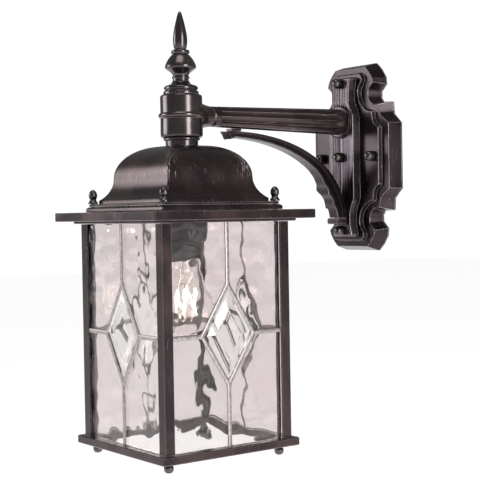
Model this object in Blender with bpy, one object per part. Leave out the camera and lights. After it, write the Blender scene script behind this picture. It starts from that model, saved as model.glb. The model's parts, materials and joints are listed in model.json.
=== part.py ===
"""Outdoor wall lantern on a bracket arm: a square glazed cage under an ogee roof.

Metres, +Z up. The wall is the plane Y = 0 and the lantern hangs in front of it, towards -Y.
The origin is the centre of the mounting bar's rear face, on the wall.
"""

import math

import bmesh
import bpy
from mathutils import Matrix, Vector

MM = 0.001
GAP = 0.3 * MM                    # clearance between pieces that touch

CUT_MARGIN = 5 * MM               # how far a cutter runs past the faces that it cuts

# Overall arrangement
ARM_REACH = 247 * MM              # wall to the lantern's axis
ARM_RISE = 39.4 * MM              # arm axis above the centre of the backplate
ROOF_DROP = 31 * MM               # arm axis down to the top of the roof
CAGE_HALF = 75.5 * MM             # half width over the posts
GLASS_HEIGHT = 217 * MM           # clear height between the two frames

# Cage
FRAME_OVERHANG = 5.7 * MM         # top and bottom frames beyond the posts
FRAME_LIP = 1 * MM                # the frames reach this far inside the panes
FRAME_EDGE = 0.8 * MM
GUSSET_REACH = 7.1 * MM           # corner gusset inwards of the tie bolt's axis
TOP_FRAME_HEIGHT = 8.2 * MM
BOTTOM_FRAME_HEIGHT = 8 * MM
POST_LEG = 11 * MM
POST_WALL = 2 * MM
PANE_THICKNESS = 3 * MM
CAME_WIDTH = 5 * MM
CAME_HEIGHT = 1.5 * MM
CAME_CROWN = 2.6 * MM             # width of the flat along the top of a came
DIAMOND_HALF_WIDTH = 30.5 * MM    # to the centre line of the came
DIAMOND_HALF_HEIGHT = 48.5 * MM
DIAMOND_BEVEL = 7 * MM
DIAMOND_RISE = 2 * MM             # how far the bevelled glass stands proud of the pane
DIAMOND_LAP = 0.8 * MM            # opening of the pane inwards of the came's centre line
DIAMOND_PLAY = 0.7 * MM           # between the edge of the diamond and that opening
CAME_PLAY = 0.4 * MM              # between the came and the raised part of the diamond
TIE_RADIUS = 1.9 * MM
TIE_CLEARANCE = 2.1 * MM          # between a tie bolt and the panes
TIE_HOLE_PLAY = 0.5 * MM
FOOT_RADIUS = 4.7 * MM
FOOT_HEIGHT = 9.8 * MM
ACORN_RADIUS = 4.4 * MM
ACORN_HEIGHT = 14.6 * MM
ACORN_FLARE = 1.12                # foot of the acorn nut, as a share of its radius
ACORN_THREAD = 0.68               # share of the nut's height that the bolt fills
ACORN_CLEARANCE = 0.7 * MM        # between the nut's foot and the corner of the roof

# Roof and eave
ROOF_HEIGHT = 65.6 * MM           # top of the roof down to the top of the eave plate
ROOF_TOP_HALF = 16 * MM           # flat top of the roof, half width
ROOF_TURN_RISE = 28 * MM          # flange up to the height where the curve turns
ROOF_FLARE_RADIUS = 27 * MM
ROOF_FLARE_SPREAD = 11.2 * MM     # how far the flare widens the roof
ROOF_FLANGE_EDGE = 3.3 * MM       # flange beyond the tie bolts' axes
ROOF_FLANGE_THICKNESS = 2.6 * MM
ROOF_WALL = 2 * MM
PLINTH_LEDGE = 2.4 * MM           # plinth beyond the flange
PLINTH_HEIGHT = 5.4 * MM
PLINTH_BEVEL = 2.2 * MM
EAVE_OVERHANG = 13.8 * MM         # eave beyond the frames
EAVE_RIM_HEIGHT = 9 * MM
EAVE_RIM_WALL = 3 * MM
EAVE_WEB = 3 * MM                 # thickness of the plate inside its rim
EAVE_EDGE = 0.6 * MM
EAVE_OPENING_INSET = 6.2 * MM     # tie bolts' axes in to the edge of the opening

# Supply lead
LEAD_RADIUS = 2.75 * MM
LEAD_DEPTH = 9 * MM               # wall to the lead inside the plate
LEAD_PLATE_BEND = 9 * MM
LEAD_HUB_BEND = 13 * MM
TERMINAL_SIZE = (30 * MM, 10 * MM, 22 * MM)
TERMINAL_DROP = 36 * MM
GROMMET_WALL = 4.6 * MM
GROMMET_LIP = 2.6 * MM
GROMMET_LIP_THICKNESS = 1.8 * MM

# Hub and finial
HUB_RADIUS = 21.3 * MM
HUB_RING = 1.9 * MM               # how far the hub's ring stands out
HUB_RISE = 21 * MM                # arm axis up to the shoulder
HUB_NECK_RADIUS = 16.6 * MM
HUB_NECK_HEIGHT = 4.7 * MM
HUB_WALL = 4.3 * MM
HUB_TOP_WALL = 5 * MM
HUB_BASE_WALL = 8 * MM            # above the neck
HUB_SOCKET_RADIUS = 16.2 * MM     # conical socket for the arm, at the barrel
HUB_SOCKET_REACH = 34.4 * MM      # hub axis to the mouth of the socket
CAP_RADIUS = 17.1 * MM
CAP_HEIGHT = 13 * MM
FINIAL_HEIGHT = 70.3 * MM
FINIAL_NECK_RADIUS = 8.3 * MM
FINIAL_BALL_RADIUS = 15.8 * MM
FINIAL_RING_RADIUS = 9.3 * MM
FINIAL_BORE_DEPTH = 14 * MM
FLAME_RADIUS = 7.4 * MM
STUD_RADIUS = 4 * MM
STUD_TAIL = 6 * MM                # stud below the roof of the hub's cavity
NIPPLE_PLAY = 0.95 * MM           # between the lead and the nipple's bore
NIPPLE_WALL = 1.3 * MM
NIPPLE_GRIP = 6 * MM              # nipple inside the lampholder

# Arm and brace
ARM_RADIUS_HUB = 10.5 * MM
ARM_RADIUS_WALL = 14.4 * MM
ARM_BORE = 6.5 * MM
ARM_FLUTES = 12
ARM_FLUTE_DEPTH = 0.05            # share of the radius
ARM_FLUTE_RUNOUT = 5 * MM         # flutes fade out over this length at the hub
ARM_SPIGOT_WALL = 1.3 * MM
ARM_SPIGOT_LENGTH = 11 * MM
COLLAR_FLANGE = 4 * MM            # collar beyond the arm
COLLAR_THICKNESS = 3.6 * MM
COLLAR_EDGE = 1.2 * MM
BRACE_WIDTH = 15 * MM
BRACE_TIP_THICKNESS = 6.4 * MM
BRACE_THICKNESS = 11 * MM         # where the brace runs steepest
BRACE_LEAF = 6 * MM               # swelling of the leaf along its lower part
BRACE_LEAF_START = 0.56           # share of the brace above the leaf
BRACE_START = 53 * MM             # lantern axis to the tip of the brace
BRACE_POWER = 2.18                # of the quarter superellipse that the brace follows
BRACE_FOOT_RISE = 15 * MM         # lowest panel bolt up to the foot of the brace
BRACE_SPACER_START = 59 * MM      # lantern axis to the spacer
BRACE_SPACER_LENGTH = 13 * MM
BRACE_GAP = 3 * MM                # between arm and brace, filled by the spacer
CLIP_HEIGHT = 7 * MM
CLIP_DEPTH = 13.5 * MM

# Backplate, distances from the wall
PLATE_RIM = 1.5 * MM
PLATE_STEP = 18 * MM              # front of the lowest tier
PLATE_FRONT = 23.5 * MM           # front of the upper tier
PLATE_WALL = 3 * MM
TIER_DRAFT = 1 * MM               # slope of the upper tier's side
GASKET_INSET = 0.4 * MM
PANEL_FRONT = 33.5 * MM
PANEL_EDGE = 1.2 * MM
PANEL_DRAFT = 0.8 * MM
PANEL_LAND = 2.1 * MM             # panel beyond the collar
PANEL_INSET = 16.5 * MM           # end of the plate to the end of the panel
PANEL_BOLT_INSET = 6 * MM         # end of the panel to its outer bolts
PANEL_BOLT_TAIL = 4 * MM          # bolt behind the plate
PLATE_HALF_WIDTH = 64.4 * MM
PLATE_HALF_HEIGHT = 104.5 * MM
PLATE_SCREW_INSET = 23.4 * MM     # side of the plate to the screw
SCREW_RADIUS = 2.3 * MM
SCREW_PLAY = 0.5 * MM
SCREW_TIP = 0.6 * MM              # wall to the end of a plate screw
DOME_RADIUS = 5.5 * MM
DOME_HEIGHT = 9.8 * MM
BAR_END = 13 * MM                 # mounting bar beyond the plate screws
BAR_HEIGHT = 26 * MM
BAR_THICKNESS = 2.5 * MM
BAR_SLOT_INSET = 13 * MM          # plate screw to the middle of the wall slot
BAR_SLOT = (12 * MM, 5 * MM)
EARTH_OFFSET = 14 * MM
EARTH_RADIUS = 1.7 * MM
EARTH_HEAD_RADIUS = 3.5 * MM
EARTH_HEAD_HEIGHT = 2.4 * MM

# Lamp
HOLDER_TOP = 6 * MM               # below the top of the eave plate
HOLDER_LENGTH = 43 * MM
HOLDER_NECK_RADIUS = 9 * MM
HOLDER_SKIRT_WALL = 5.3 * MM
HOLDER_SHOULDER = 4 * MM          # upper part beyond the skirt
HOLDER_SHELF = 14 * MM            # top down to the underside of the contact's shelf
HOLDER_SHELF_THICKNESS = 6 * MM
SHELL_WALL = 0.8 * MM
SHELL_INSET = 3 * MM              # mouth of the holder to the end of the shell
SHELL_DROP = 4 * MM               # shelf to the top of the shell
CONTACT_RADIUS = 5 * MM
CONTACT_HEIGHT = 1.8 * MM
CAP_THREAD_RADIUS = 13.1 * MM
CAP_THREAD_PLAY = 0.5 * MM
CAP_LENGTH = 25 * MM
CAP_WALL = 0.7 * MM
BULB_RADIUS = 30 * MM
BULB_LENGTH = 105 * MM
BULB_WALL = 0.8 * MM
BULB_RIM = 16 * MM                # top of the lamp's cap down to the rim of its glass

# Sizes that follow from the ones above
PANE_OUTER = CAGE_HALF - POST_WALL - GAP
PANE_INNER = PANE_OUTER - PANE_THICKNESS
FRAME_HALF = CAGE_HALF + FRAME_OVERHANG
FRAME_INNER_HALF = PANE_INNER - FRAME_LIP
TIE_HALF = PANE_INNER - TIE_RADIUS - TIE_CLEARANCE
FRAME_GUSSET = 2 * (FRAME_INNER_HALF - TIE_HALF) + GUSSET_REACH * math.sqrt(2)
ROOF_SKIRT_HALF = TIE_HALF - (ACORN_RADIUS * ACORN_FLARE + ACORN_CLEARANCE) / math.sqrt(2)
ROOF_WAIST_HALF = ROOF_SKIRT_HALF - ROOF_FLARE_SPREAD
ROOF_FLANGE_HALF = TIE_HALF + ROOF_FLANGE_EDGE
PLINTH_HALF = ROOF_FLANGE_HALF + PLINTH_LEDGE
EAVE_HALF = FRAME_HALF + EAVE_OVERHANG
OPENING_HALF = TIE_HALF - EAVE_OPENING_INSET
NIPPLE_BORE = LEAD_RADIUS + NIPPLE_PLAY
NIPPLE_RADIUS = NIPPLE_BORE + NIPPLE_WALL
GROMMET_RADIUS = LEAD_RADIUS + GAP + GROMMET_WALL
ARM_SPIGOT_RADIUS = ARM_BORE + ARM_SPIGOT_WALL
HUB_BOTTOM = GAP - ROOF_DROP      # from the arm's axis
HUB_NECK_TOP = HUB_BOTTOM + HUB_NECK_HEIGHT
HUB_CAVITY_TOP = HUB_RISE - HUB_TOP_WALL
COLLAR_RADIUS = ARM_RADIUS_WALL + COLLAR_FLANGE
PANEL_HALF_WIDTH = COLLAR_RADIUS + PANEL_LAND
PANEL_HALF_HEIGHT = PLATE_HALF_HEIGHT - PANEL_INSET
PANEL_BOLT_SPACING = PANEL_HALF_HEIGHT - PANEL_BOLT_INSET
PLATE_SCREW_SPACING = PLATE_HALF_WIDTH - PLATE_SCREW_INSET
SCREW_HOLE_RADIUS = SCREW_RADIUS + SCREW_PLAY
HOLDER_BORE = CAP_THREAD_RADIUS + CAP_THREAD_PLAY + SHELL_WALL + GAP
HOLDER_SKIRT_RADIUS = HOLDER_BORE + HOLDER_SKIRT_WALL
HOLDER_RADIUS = HOLDER_SKIRT_RADIUS + HOLDER_SHOULDER

# Places, in the frame of the wall
AXIS_Y = -ARM_REACH
ARM_Z = ARM_RISE
ROOF_TOP_Z = ARM_Z - ROOF_DROP
EAVE_Z = ROOF_TOP_Z - ROOF_HEIGHT
FLANGE_LOW = PLINTH_HEIGHT + GAP                       # above the eave plate
FLANGE_HIGH = FLANGE_LOW + ROOF_FLANGE_THICKNESS
NUT_SEAT_Z = EAVE_Z + FLANGE_HIGH + GAP
TIE_TOP_Z = NUT_SEAT_Z + ACORN_HEIGHT * ACORN_THREAD
TOP_FRAME_Z = EAVE_Z - EAVE_WEB - GAP
GLASS_TOP_Z = TOP_FRAME_Z - TOP_FRAME_HEIGHT
GLASS_BOTTOM_Z = GLASS_TOP_Z - GLASS_HEIGHT
CAGE_BOTTOM_Z = GLASS_BOTTOM_Z - BOTTOM_FRAME_HEIGHT
HOLDER_TOP_Z = EAVE_Z - HOLDER_TOP
BRACE_FOOT_Z = BRACE_FOOT_RISE - PANEL_BOLT_SPACING
PANEL_FACE_Y = -PANEL_FRONT - GAP                      # what stands on the panel
CORNERS = {"front_left": (-1, -1), "front_right": (1, -1), "back_right": (1, 1), "back_left": (-1, 1)}
SIDES = {"front": 0, "right": 90, "back": 180, "left": 270}


# ---------------------------------------------------------------- scene and materials

def clear_scene():
    for item in list(bpy.data.objects):
        bpy.data.objects.remove(item, do_unlink=True)


def material(name, colour, metallic, roughness, transmission=0.0):
    made = bpy.data.materials.new(name)
    made.use_nodes = True
    shader = made.node_tree.nodes["Principled BSDF"]
    shader.inputs["Base Color"].default_value = (*colour, 1.0)
    shader.inputs["Metallic"].default_value = metallic
    shader.inputs["Roughness"].default_value = roughness
    shader.inputs["Transmission Weight"].default_value = transmission
    made.diffuse_color = (*colour, 1.0)
    return made


def make_materials():
    return {
        "body_paint": material("body_paint", (0.035, 0.028, 0.030), 0.8, 0.38),
        "arm_paint": material("arm_paint", (0.032, 0.025, 0.026), 0.8, 0.36),
        "hub_paint": material("hub_paint", (0.060, 0.050, 0.052), 0.9, 0.30),
        "plate_paint": material("plate_paint", (0.035, 0.028, 0.030), 0.8, 0.42),
        "came_lead": material("came_lead", (0.33, 0.31, 0.30), 1.0, 0.42),
        "ripple_glass": material("ripple_glass", (0.90, 0.87, 0.87), 0.0, 0.06, 1.0),
        "bevel_glass": material("bevel_glass", (0.90, 0.93, 0.91), 0.0, 0.02, 1.0),
        "bulb_glass": material("bulb_glass", (0.98, 0.97, 0.95), 0.0, 0.02, 1.0),
        "fastener_steel": material("fastener_steel", (0.16, 0.15, 0.15), 1.0, 0.35),
        "zinc_steel": material("zinc_steel", (0.55, 0.55, 0.54), 1.0, 0.40),
        "brass": material("brass", (0.70, 0.52, 0.24), 1.0, 0.32),
        "nickel": material("nickel", (0.62, 0.60, 0.56), 1.0, 0.28),
        "rubber": material("rubber", (0.02, 0.02, 0.02), 0.0, 0.75),
        "holder_plastic": material("holder_plastic", (0.030, 0.024, 0.022), 0.0, 0.45),
        "terminal_plastic": material("terminal_plastic", (0.80, 0.79, 0.74), 0.0, 0.50),
    }


# ---------------------------------------------------------------- shape helpers

def finish_object(name, bm, surface, smooth_angle=35):
    """Closes a bmesh into a named object with outward faces and one material."""
    bmesh.ops.recalc_face_normals(bm, faces=bm.faces)
    mesh = bpy.data.meshes.new(name)
    bm.to_mesh(mesh)
    bm.free()
    made = bpy.data.objects.new(name, mesh)
    bpy.context.scene.collection.objects.link(made)
    mesh.materials.append(surface)
    mesh.shade_smooth()
    mesh.set_sharp_from_angle(angle=math.radians(smooth_angle))
    return made


def skin(bm, rings, cyclic=False, caps=True):
    """Joins rings of equal length with quads; cyclic also joins the last ring to the first."""
    loops = [[bm.verts.new(point) for point in ring] for ring in rings]
    pairs = list(zip(loops, loops[1:]))
    if cyclic:
        pairs.append((loops[-1], loops[0]))
    for low, high in pairs:
        count = len(low)
        for i in range(count):
            j = (i + 1) % count
            bm.faces.new((low[i], low[j], high[j], high[i]))
    if caps and not cyclic:
        bm.faces.new(list(reversed(loops[0])))
        bm.faces.new(loops[-1])
    return loops


def circle(radius, segments):
    step = 2 * math.pi / segments
    return [(radius * math.cos(i * step), radius * math.sin(i * step)) for i in range(segments)]


def lathe_mesh(profile, segments, ring=False):
    """Turns (radius, height) points round Z. A ring's profile is a closed loop off the axis."""
    bm = bmesh.new()
    inner = profile if ring else [point for point in profile if point[0] > 0]
    rings = [[(x, y, z) for x, y in circle(r, segments)] for r, z in inner]
    loops = skin(bm, rings, cyclic=ring, caps=False)
    if ring:
        return bm
    for (radius, height), loop in ((profile[0], loops[0]), (profile[-1], loops[-1])):
        if radius > 0:
            bm.faces.new(loop)
            continue
        tip = bm.verts.new((0, 0, height))
        for i in range(segments):
            bm.faces.new((loop[i], loop[(i + 1) % segments], tip))
    return bm


def lathe(name, profile, surface, place, segments=32, ring=False, axis="Z"):
    bm = lathe_mesh(profile, segments, ring)
    made = finish_object(name, bm, surface)
    if axis == "Y":
        made.rotation_euler = (math.radians(90), 0, 0)
    made.location = place
    return made


def square_ring(half, z):
    return [(-half, -half, z), (half, -half, z), (half, half, z), (-half, half, z)]


def box_mesh(bm, low, high):
    corners = ((low[0], low[1]), (high[0], low[1]), (high[0], high[1]), (low[0], high[1]))
    skin(bm, [[(x, y, z) for x, y in corners] for z in (low[2], high[2])])


def box(name, low, high, surface, bevel=0.0):
    bm = bmesh.new()
    box_mesh(bm, low, high)
    if bevel:
        bmesh.ops.bevel(bm, geom=list(bm.edges), offset=bevel, segments=2, affect="EDGES")
    return finish_object(name, bm, surface)


def cylinder_along(bm, start, end, radius, segments=16):
    """Adds a closed cylinder between two points."""
    start, end = Vector(start), Vector(end)
    turn = (end - start).to_track_quat("Z", "Y").to_matrix().to_4x4()
    middle = Matrix.Translation((start + end) / 2)
    bmesh.ops.create_cone(
        bm, cap_ends=True, segments=segments, radius1=radius, radius2=radius,
        depth=(end - start).length, matrix=middle @ turn,
    )


def boolean(target, name, bm, operation="DIFFERENCE"):
    """Cuts a helper shape out of an object, or joins it on. The helper stays hidden."""
    bmesh.ops.recalc_face_normals(bm, faces=bm.faces)
    mesh = bpy.data.meshes.new(name)
    bm.to_mesh(mesh)
    bm.free()
    helper = bpy.data.objects.new(name, mesh)
    bpy.context.scene.collection.objects.link(helper)
    helper.hide_render = True
    helper.display_type = "WIRE"
    helper.parent = target
    helper.matrix_parent_inverse = target.matrix_basis.inverted()
    step = target.modifiers.new(name, "BOOLEAN")
    step.operation = operation
    step.object = helper


def arc(centre, radii, start, end, steps):
    """Points of an elliptical arc in a plane, angles in degrees."""
    points = []
    for i in range(steps + 1):
        angle = math.radians(start + (end - start) * i / steps)
        points.append((centre[0] + radii[0] * math.cos(angle), centre[1] + radii[1] * math.sin(angle)))
    return points


def offset_loop(points, distance):
    """Moves a closed anticlockwise outline inwards by a distance, edge by edge."""
    count = len(points)
    moved = []
    for i in range(count):
        before, here, after = Vector(points[i - 1]), Vector(points[i]), Vector(points[(i + 1) % count])
        first = (here - before).normalized()
        second = (after - here).normalized()
        normal_1 = Vector((-first.y, first.x))
        normal_2 = Vector((-second.y, second.x))
        mean = (normal_1 + normal_2).normalized()
        reach = distance / max(mean.dot(normal_1), 0.5)
        moved.append((here.x + mean.x * reach, here.y + mean.y * reach))
    return moved


# ---------------------------------------------------------------- backplate

def mirrored(quadrant):
    """A closed anticlockwise outline from the points of its upper right quarter."""
    upper_left = [(-x, z) for x, z in reversed(quadrant)]
    lower_left = [(-x, -z) for x, z in quadrant]
    lower_right = [(x, -z) for x, z in reversed(quadrant)]
    return quadrant + upper_left + lower_left + lower_right


def plate_outline(tier):
    """Scalloped outline of one tier, as (x, z). Tier 0 lies on the wall, 2 is the highest.

    The points of its quarter are shares of the plate's half width and half height.
    """
    quarter = (
        [(1.0, 0.344), (0.831, 0.445), (0.815, 0.574), (0.582, 0.579), (0.531, 0.622),
         (0.534, 0.689), (0.657, 0.761), (0.640, 0.842), (0.543, 0.928), (0.419, 1.0)],
        [(0.949, 0.340), (0.755, 0.440), (0.699, 0.541), (0.575, 0.545), (0.475, 0.612),
         (0.463, 0.699), (0.587, 0.780), (0.559, 0.833), (0.481, 0.900), (0.388, 0.956)],
        [(0.783, 0.297), (0.671, 0.349), (0.627, 0.465), (0.466, 0.494), (0.323, 0.584),
         (0.289, 0.708), (0.388, 0.823), (0.373, 0.852), (0.351, 0.871), (0.320, 0.885)],
    )[tier]
    return mirrored([(x * PLATE_HALF_WIDTH, z * PLATE_HALF_HEIGHT) for x, z in quarter])


def plate_ring(outline, depth):
    return [(x, -depth, z) for x, z in outline]


def screw_places():
    """Where the dome-headed screws pass through the plate, as (x, z)."""
    panel = {"top": (0, PANEL_BOLT_SPACING), "middle": (0, 0), "bottom": (0, -PANEL_BOLT_SPACING)}
    plate = {"left": (-PLATE_SCREW_SPACING, 0), "right": (PLATE_SCREW_SPACING, 0)}
    return panel, plate


def holes_along_y(places, radius):
    """Cutters at (x, z) places, from behind the wall to in front of the panel."""
    bm = bmesh.new()
    for x, z in places:
        cylinder_along(bm, (x, CUT_MARGIN, z), (x, -PANEL_FRONT - CUT_MARGIN, z), radius, 24)
    return bm


def build_backplate(surfaces):
    lowest, middle, upper = (plate_outline(tier) for tier in range(3))
    inside = PLATE_STEP - PLATE_WALL
    rings = [
        plate_ring(upper, PLATE_FRONT),
        plate_ring(offset_loop(upper, -TIER_DRAFT), PLATE_STEP),
        plate_ring(middle, PLATE_STEP),
        plate_ring(lowest, PLATE_RIM),
        plate_ring(offset_loop(lowest, PLATE_WALL), PLATE_RIM),
        plate_ring(offset_loop(middle, PLATE_WALL), inside),
        plate_ring(offset_loop(upper, PLATE_WALL - TIER_DRAFT), inside),
        plate_ring(offset_loop(upper, PLATE_WALL), PLATE_FRONT - PLATE_WALL),
    ]
    bm = bmesh.new()
    skin(bm, rings)
    plate = finish_object("backplate", bm, surfaces["plate_paint"], 25)
    panel, sides = screw_places()
    places = list(panel.values()) + list(sides.values())
    boolean(plate, "cutter_plate_screws", holes_along_y(places, SCREW_HOLE_RADIUS))
    boolean(plate, "cutter_plate_lead", holes_along_y([(0, ARM_Z)], GROMMET_RADIUS + GAP))


def build_gasket(surfaces):
    outline = offset_loop(plate_outline(0), GASKET_INSET)
    inner = offset_loop(plate_outline(0), PLATE_WALL)
    rings = [
        plate_ring(outline, PLATE_RIM - GAP),
        plate_ring(outline, 0),
        plate_ring(inner, 0),
        plate_ring(inner, PLATE_RIM - GAP),
    ]
    bm = bmesh.new()
    skin(bm, rings, cyclic=True)
    finish_object("wall_gasket", bm, surfaces["rubber"])


def build_panel(surfaces):
    width, height = PANEL_HALF_WIDTH, PANEL_HALF_HEIGHT
    quarter = [
        (width, height * 0.516), (width * 0.67, height * 0.693), (width * 0.67, height * 0.841),
        (width * 0.79, height * 0.977), (width * 0.70, height),
    ]
    outline = mirrored(quarter)
    rings = [
        plate_ring(offset_loop(outline, PANEL_EDGE), PANEL_FRONT),
        plate_ring(outline, PANEL_FRONT - PANEL_EDGE),
        plate_ring(offset_loop(outline, -PANEL_DRAFT), PLATE_FRONT + GAP),
    ]
    bm = bmesh.new()
    skin(bm, rings)
    panel = finish_object("bracket_panel", bm, surfaces["plate_paint"], 25)
    bolts, _ = screw_places()
    boolean(panel, "cutter_panel_bolts", holes_along_y(bolts.values(), SCREW_HOLE_RADIUS))
    boolean(panel, "cutter_panel_lead", holes_along_y([(0, ARM_Z)], GROMMET_RADIUS + GAP))


def dome_screw(name, x, z, seat, tip, surfaces):
    """Dome-headed screw along Y: its head rests on seat, its shank ends at tip."""
    neck = seat + GAP
    profile = [
        (0, neck + DOME_HEIGHT), (DOME_RADIUS * 0.55, neck + DOME_HEIGHT * 0.93),
        (DOME_RADIUS * 0.9, neck + DOME_HEIGHT * 0.755), (DOME_RADIUS, neck + DOME_HEIGHT * 0.53),
        (DOME_RADIUS, neck), (SCREW_RADIUS, neck), (SCREW_RADIUS, tip),
    ]
    lathe(name, profile, surfaces["fastener_steel"], (x, 0, z), 12, axis="Y")


def build_plate_fasteners(surfaces):
    panel, sides = screw_places()
    tail = PLATE_FRONT - PLATE_WALL - PANEL_BOLT_TAIL
    for which, (x, z) in panel.items():
        dome_screw(f"panel_bolt_{which}", x, z, PANEL_FRONT, tail, surfaces)
    for which, (x, z) in sides.items():
        dome_screw(f"plate_screw_{which}", x, z, PLATE_FRONT, SCREW_TIP, surfaces)


def build_mounting_bar(surfaces):
    half_length = PLATE_SCREW_SPACING + BAR_END
    low = (-half_length, -BAR_THICKNESS, -BAR_HEIGHT / 2)
    bar = box("mounting_bar", low, (half_length, 0, BAR_HEIGHT / 2), surfaces["zinc_steel"])
    _, sides = screw_places()
    bm = holes_along_y(sides.values(), SCREW_HOLE_RADIUS)
    near, far = -BAR_THICKNESS - CUT_MARGIN, CUT_MARGIN
    cylinder_along(bm, (EARTH_OFFSET, far, 0), (EARTH_OFFSET, near, 0), EARTH_RADIUS + GAP)
    length, height = BAR_SLOT
    for side in (-1, 1):
        middle = side * (PLATE_SCREW_SPACING - BAR_SLOT_INSET)
        box_mesh(bm, (middle - length / 2, near, -height / 2), (middle + length / 2, far, height / 2))
    boolean(bar, "cutter_bar", bm)


def build_wiring(surfaces):
    width, depth, height = TERMINAL_SIZE
    low = (-width / 2, -LEAD_DEPTH - depth / 2, -TERMINAL_DROP - height / 2)
    high = (width / 2, -LEAD_DEPTH + depth / 2, -TERMINAL_DROP + height / 2)
    box("terminal_block", low, high, surfaces["terminal_plastic"], 1 * MM)
    seat = BAR_THICKNESS + GAP
    screw = [
        (0, seat + EARTH_HEAD_HEIGHT), (EARTH_HEAD_RADIUS * 0.74, seat + EARTH_HEAD_HEIGHT * 0.8),
        (EARTH_HEAD_RADIUS, seat), (EARTH_RADIUS, seat), (EARTH_RADIUS, GAP),
    ]
    lathe("earth_screw", screw, surfaces["brass"], (EARTH_OFFSET, 0, 0), 16, axis="Y")
    bore = LEAD_RADIUS + GAP
    back = PLATE_FRONT - PLATE_WALL - GAP
    front = PANEL_FRONT - GROMMET_LIP_THICKNESS
    lip, rear = GROMMET_RADIUS + GROMMET_LIP, back - GROMMET_LIP_THICKNESS
    grommet = [
        (bore, rear), (bore, front), (GROMMET_RADIUS, front),
        (GROMMET_RADIUS, back), (lip, back), (lip, rear),
    ]
    lathe("lead_grommet", grommet, surfaces["rubber"], (0, 0, ARM_Z), 20, ring=True, axis="Y")


def lead_route():
    """Terminal block, up inside the plate, along the arm, down the nipple to the lampholder."""
    start_z = -TERMINAL_DROP + TERMINAL_SIZE[2] / 2 + GAP
    route = [(-LEAD_DEPTH, start_z)]
    for y, bend, start, end in (
        (-LEAD_DEPTH - LEAD_PLATE_BEND, LEAD_PLATE_BEND, 0, 90),
        (AXIS_Y + LEAD_HUB_BEND, LEAD_HUB_BEND, 90, 180),
    ):
        route += arc((y, ARM_Z - bend), (bend, bend), start, end, 6)
    route.append((AXIS_Y, HOLDER_TOP_Z - HOLDER_SHELF + HOLDER_SHELF_THICKNESS - GAP))
    return [(0, y, z) for y, z in route]


def build_lead(surfaces):
    points = lead_route()
    curve = bpy.data.curves.new("internal_lead", "CURVE")
    curve.dimensions = "3D"
    curve.bevel_depth = LEAD_RADIUS
    curve.bevel_resolution = 2
    curve.use_fill_caps = True
    spline = curve.splines.new("POLY")
    spline.points.add(len(points) - 1)
    for target, point in zip(spline.points, points):
        target.co = (*point, 1)
    curve.materials.append(surfaces["rubber"])
    lead = bpy.data.objects.new("internal_lead", curve)
    bpy.context.scene.collection.objects.link(lead)


# ---------------------------------------------------------------- arm and brace

def fluted_ring(radius, y, points_per_flute=4):
    """A ring across the arm: ridges at the flutes' edges, hollows between them."""
    count = ARM_FLUTES * points_per_flute
    ring = []
    for i in range(count):
        share = math.sin(math.pi * (i % points_per_flute) / points_per_flute)
        angle = 2 * math.pi * i / count
        here = radius * (1 - ARM_FLUTE_DEPTH * share)
        ring.append((here * math.cos(angle), y, ARM_Z + here * math.sin(angle)))
    return ring


def round_ring(radius, y):
    return [(x, y, ARM_Z + z) for x, z in circle(radius, ARM_FLUTES * 4)]


def build_arm(surfaces):
    mouth = AXIS_Y + HUB_SOCKET_REACH + GAP
    spigot = mouth - ARM_SPIGOT_LENGTH
    wall = PANEL_FACE_Y
    rings = [
        round_ring(ARM_SPIGOT_RADIUS, spigot),
        round_ring(ARM_SPIGOT_RADIUS, mouth),
        round_ring(ARM_RADIUS_HUB * 0.95, mouth),
        fluted_ring(ARM_RADIUS_HUB, mouth + ARM_FLUTE_RUNOUT),
        fluted_ring(ARM_RADIUS_WALL, wall - COLLAR_THICKNESS * 2),
        round_ring(ARM_RADIUS_WALL, wall - COLLAR_THICKNESS * 1.3),
        round_ring(ARM_RADIUS_WALL, wall),
        round_ring(ARM_BORE, wall),
        round_ring(ARM_BORE, spigot),
    ]
    bm = bmesh.new()
    skin(bm, rings, cyclic=True)
    finish_object("arm_tube", bm, surfaces["arm_paint"], 20)
    inner = ARM_RADIUS_WALL + GAP
    near, far = PANEL_FRONT + GAP, PANEL_FRONT + GAP + COLLAR_THICKNESS
    profile = [
        (inner, near), (inner, far), (COLLAR_RADIUS - COLLAR_EDGE, far),
        (COLLAR_RADIUS, far - COLLAR_EDGE), (COLLAR_RADIUS, near),
    ]
    lathe("arm_collar", profile, surfaces["plate_paint"], (0, 0, ARM_Z), 32, ring=True, axis="Y")


def arm_radius_at(reach):
    """The arm's radius at a distance from the lantern's axis."""
    span = ARM_REACH - PANEL_FRONT - HUB_SOCKET_REACH
    share = (reach - HUB_SOCKET_REACH) / span
    return ARM_RADIUS_HUB + (ARM_RADIUS_WALL - ARM_RADIUS_HUB) * share


def brace_line(steps):
    """Outer edge of the brace as (share, y, z): a quarter superellipse, tip to foot."""
    foot_y, foot_z = PANEL_FACE_Y, BRACE_FOOT_Z
    tip_y = AXIS_Y + BRACE_START
    top_z = ARM_Z - arm_radius_at(BRACE_SPACER_START + BRACE_SPACER_LENGTH) - BRACE_GAP
    points = []
    for i in range(steps + 1):
        share = i / steps
        across = math.sin(math.pi / 2 * share) ** (2 / BRACE_POWER)
        up = math.cos(math.pi / 2 * share) ** (2 / BRACE_POWER)
        points.append((share, tip_y + (foot_y - tip_y) * across, foot_z + (top_z - foot_z) * up))
    return points


def brace_depth(share):
    """Thickness along the brace: slim at the tip, with a leaf swelling towards the foot."""
    growth = min(share / BRACE_LEAF_START, 1) ** 1.4
    slim = BRACE_TIP_THICKNESS + (BRACE_THICKNESS - BRACE_TIP_THICKNESS) * growth
    leaf = max(share - BRACE_LEAF_START, 0) / (1 - BRACE_LEAF_START)
    return slim + BRACE_LEAF * math.sin(math.pi * leaf)


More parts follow.
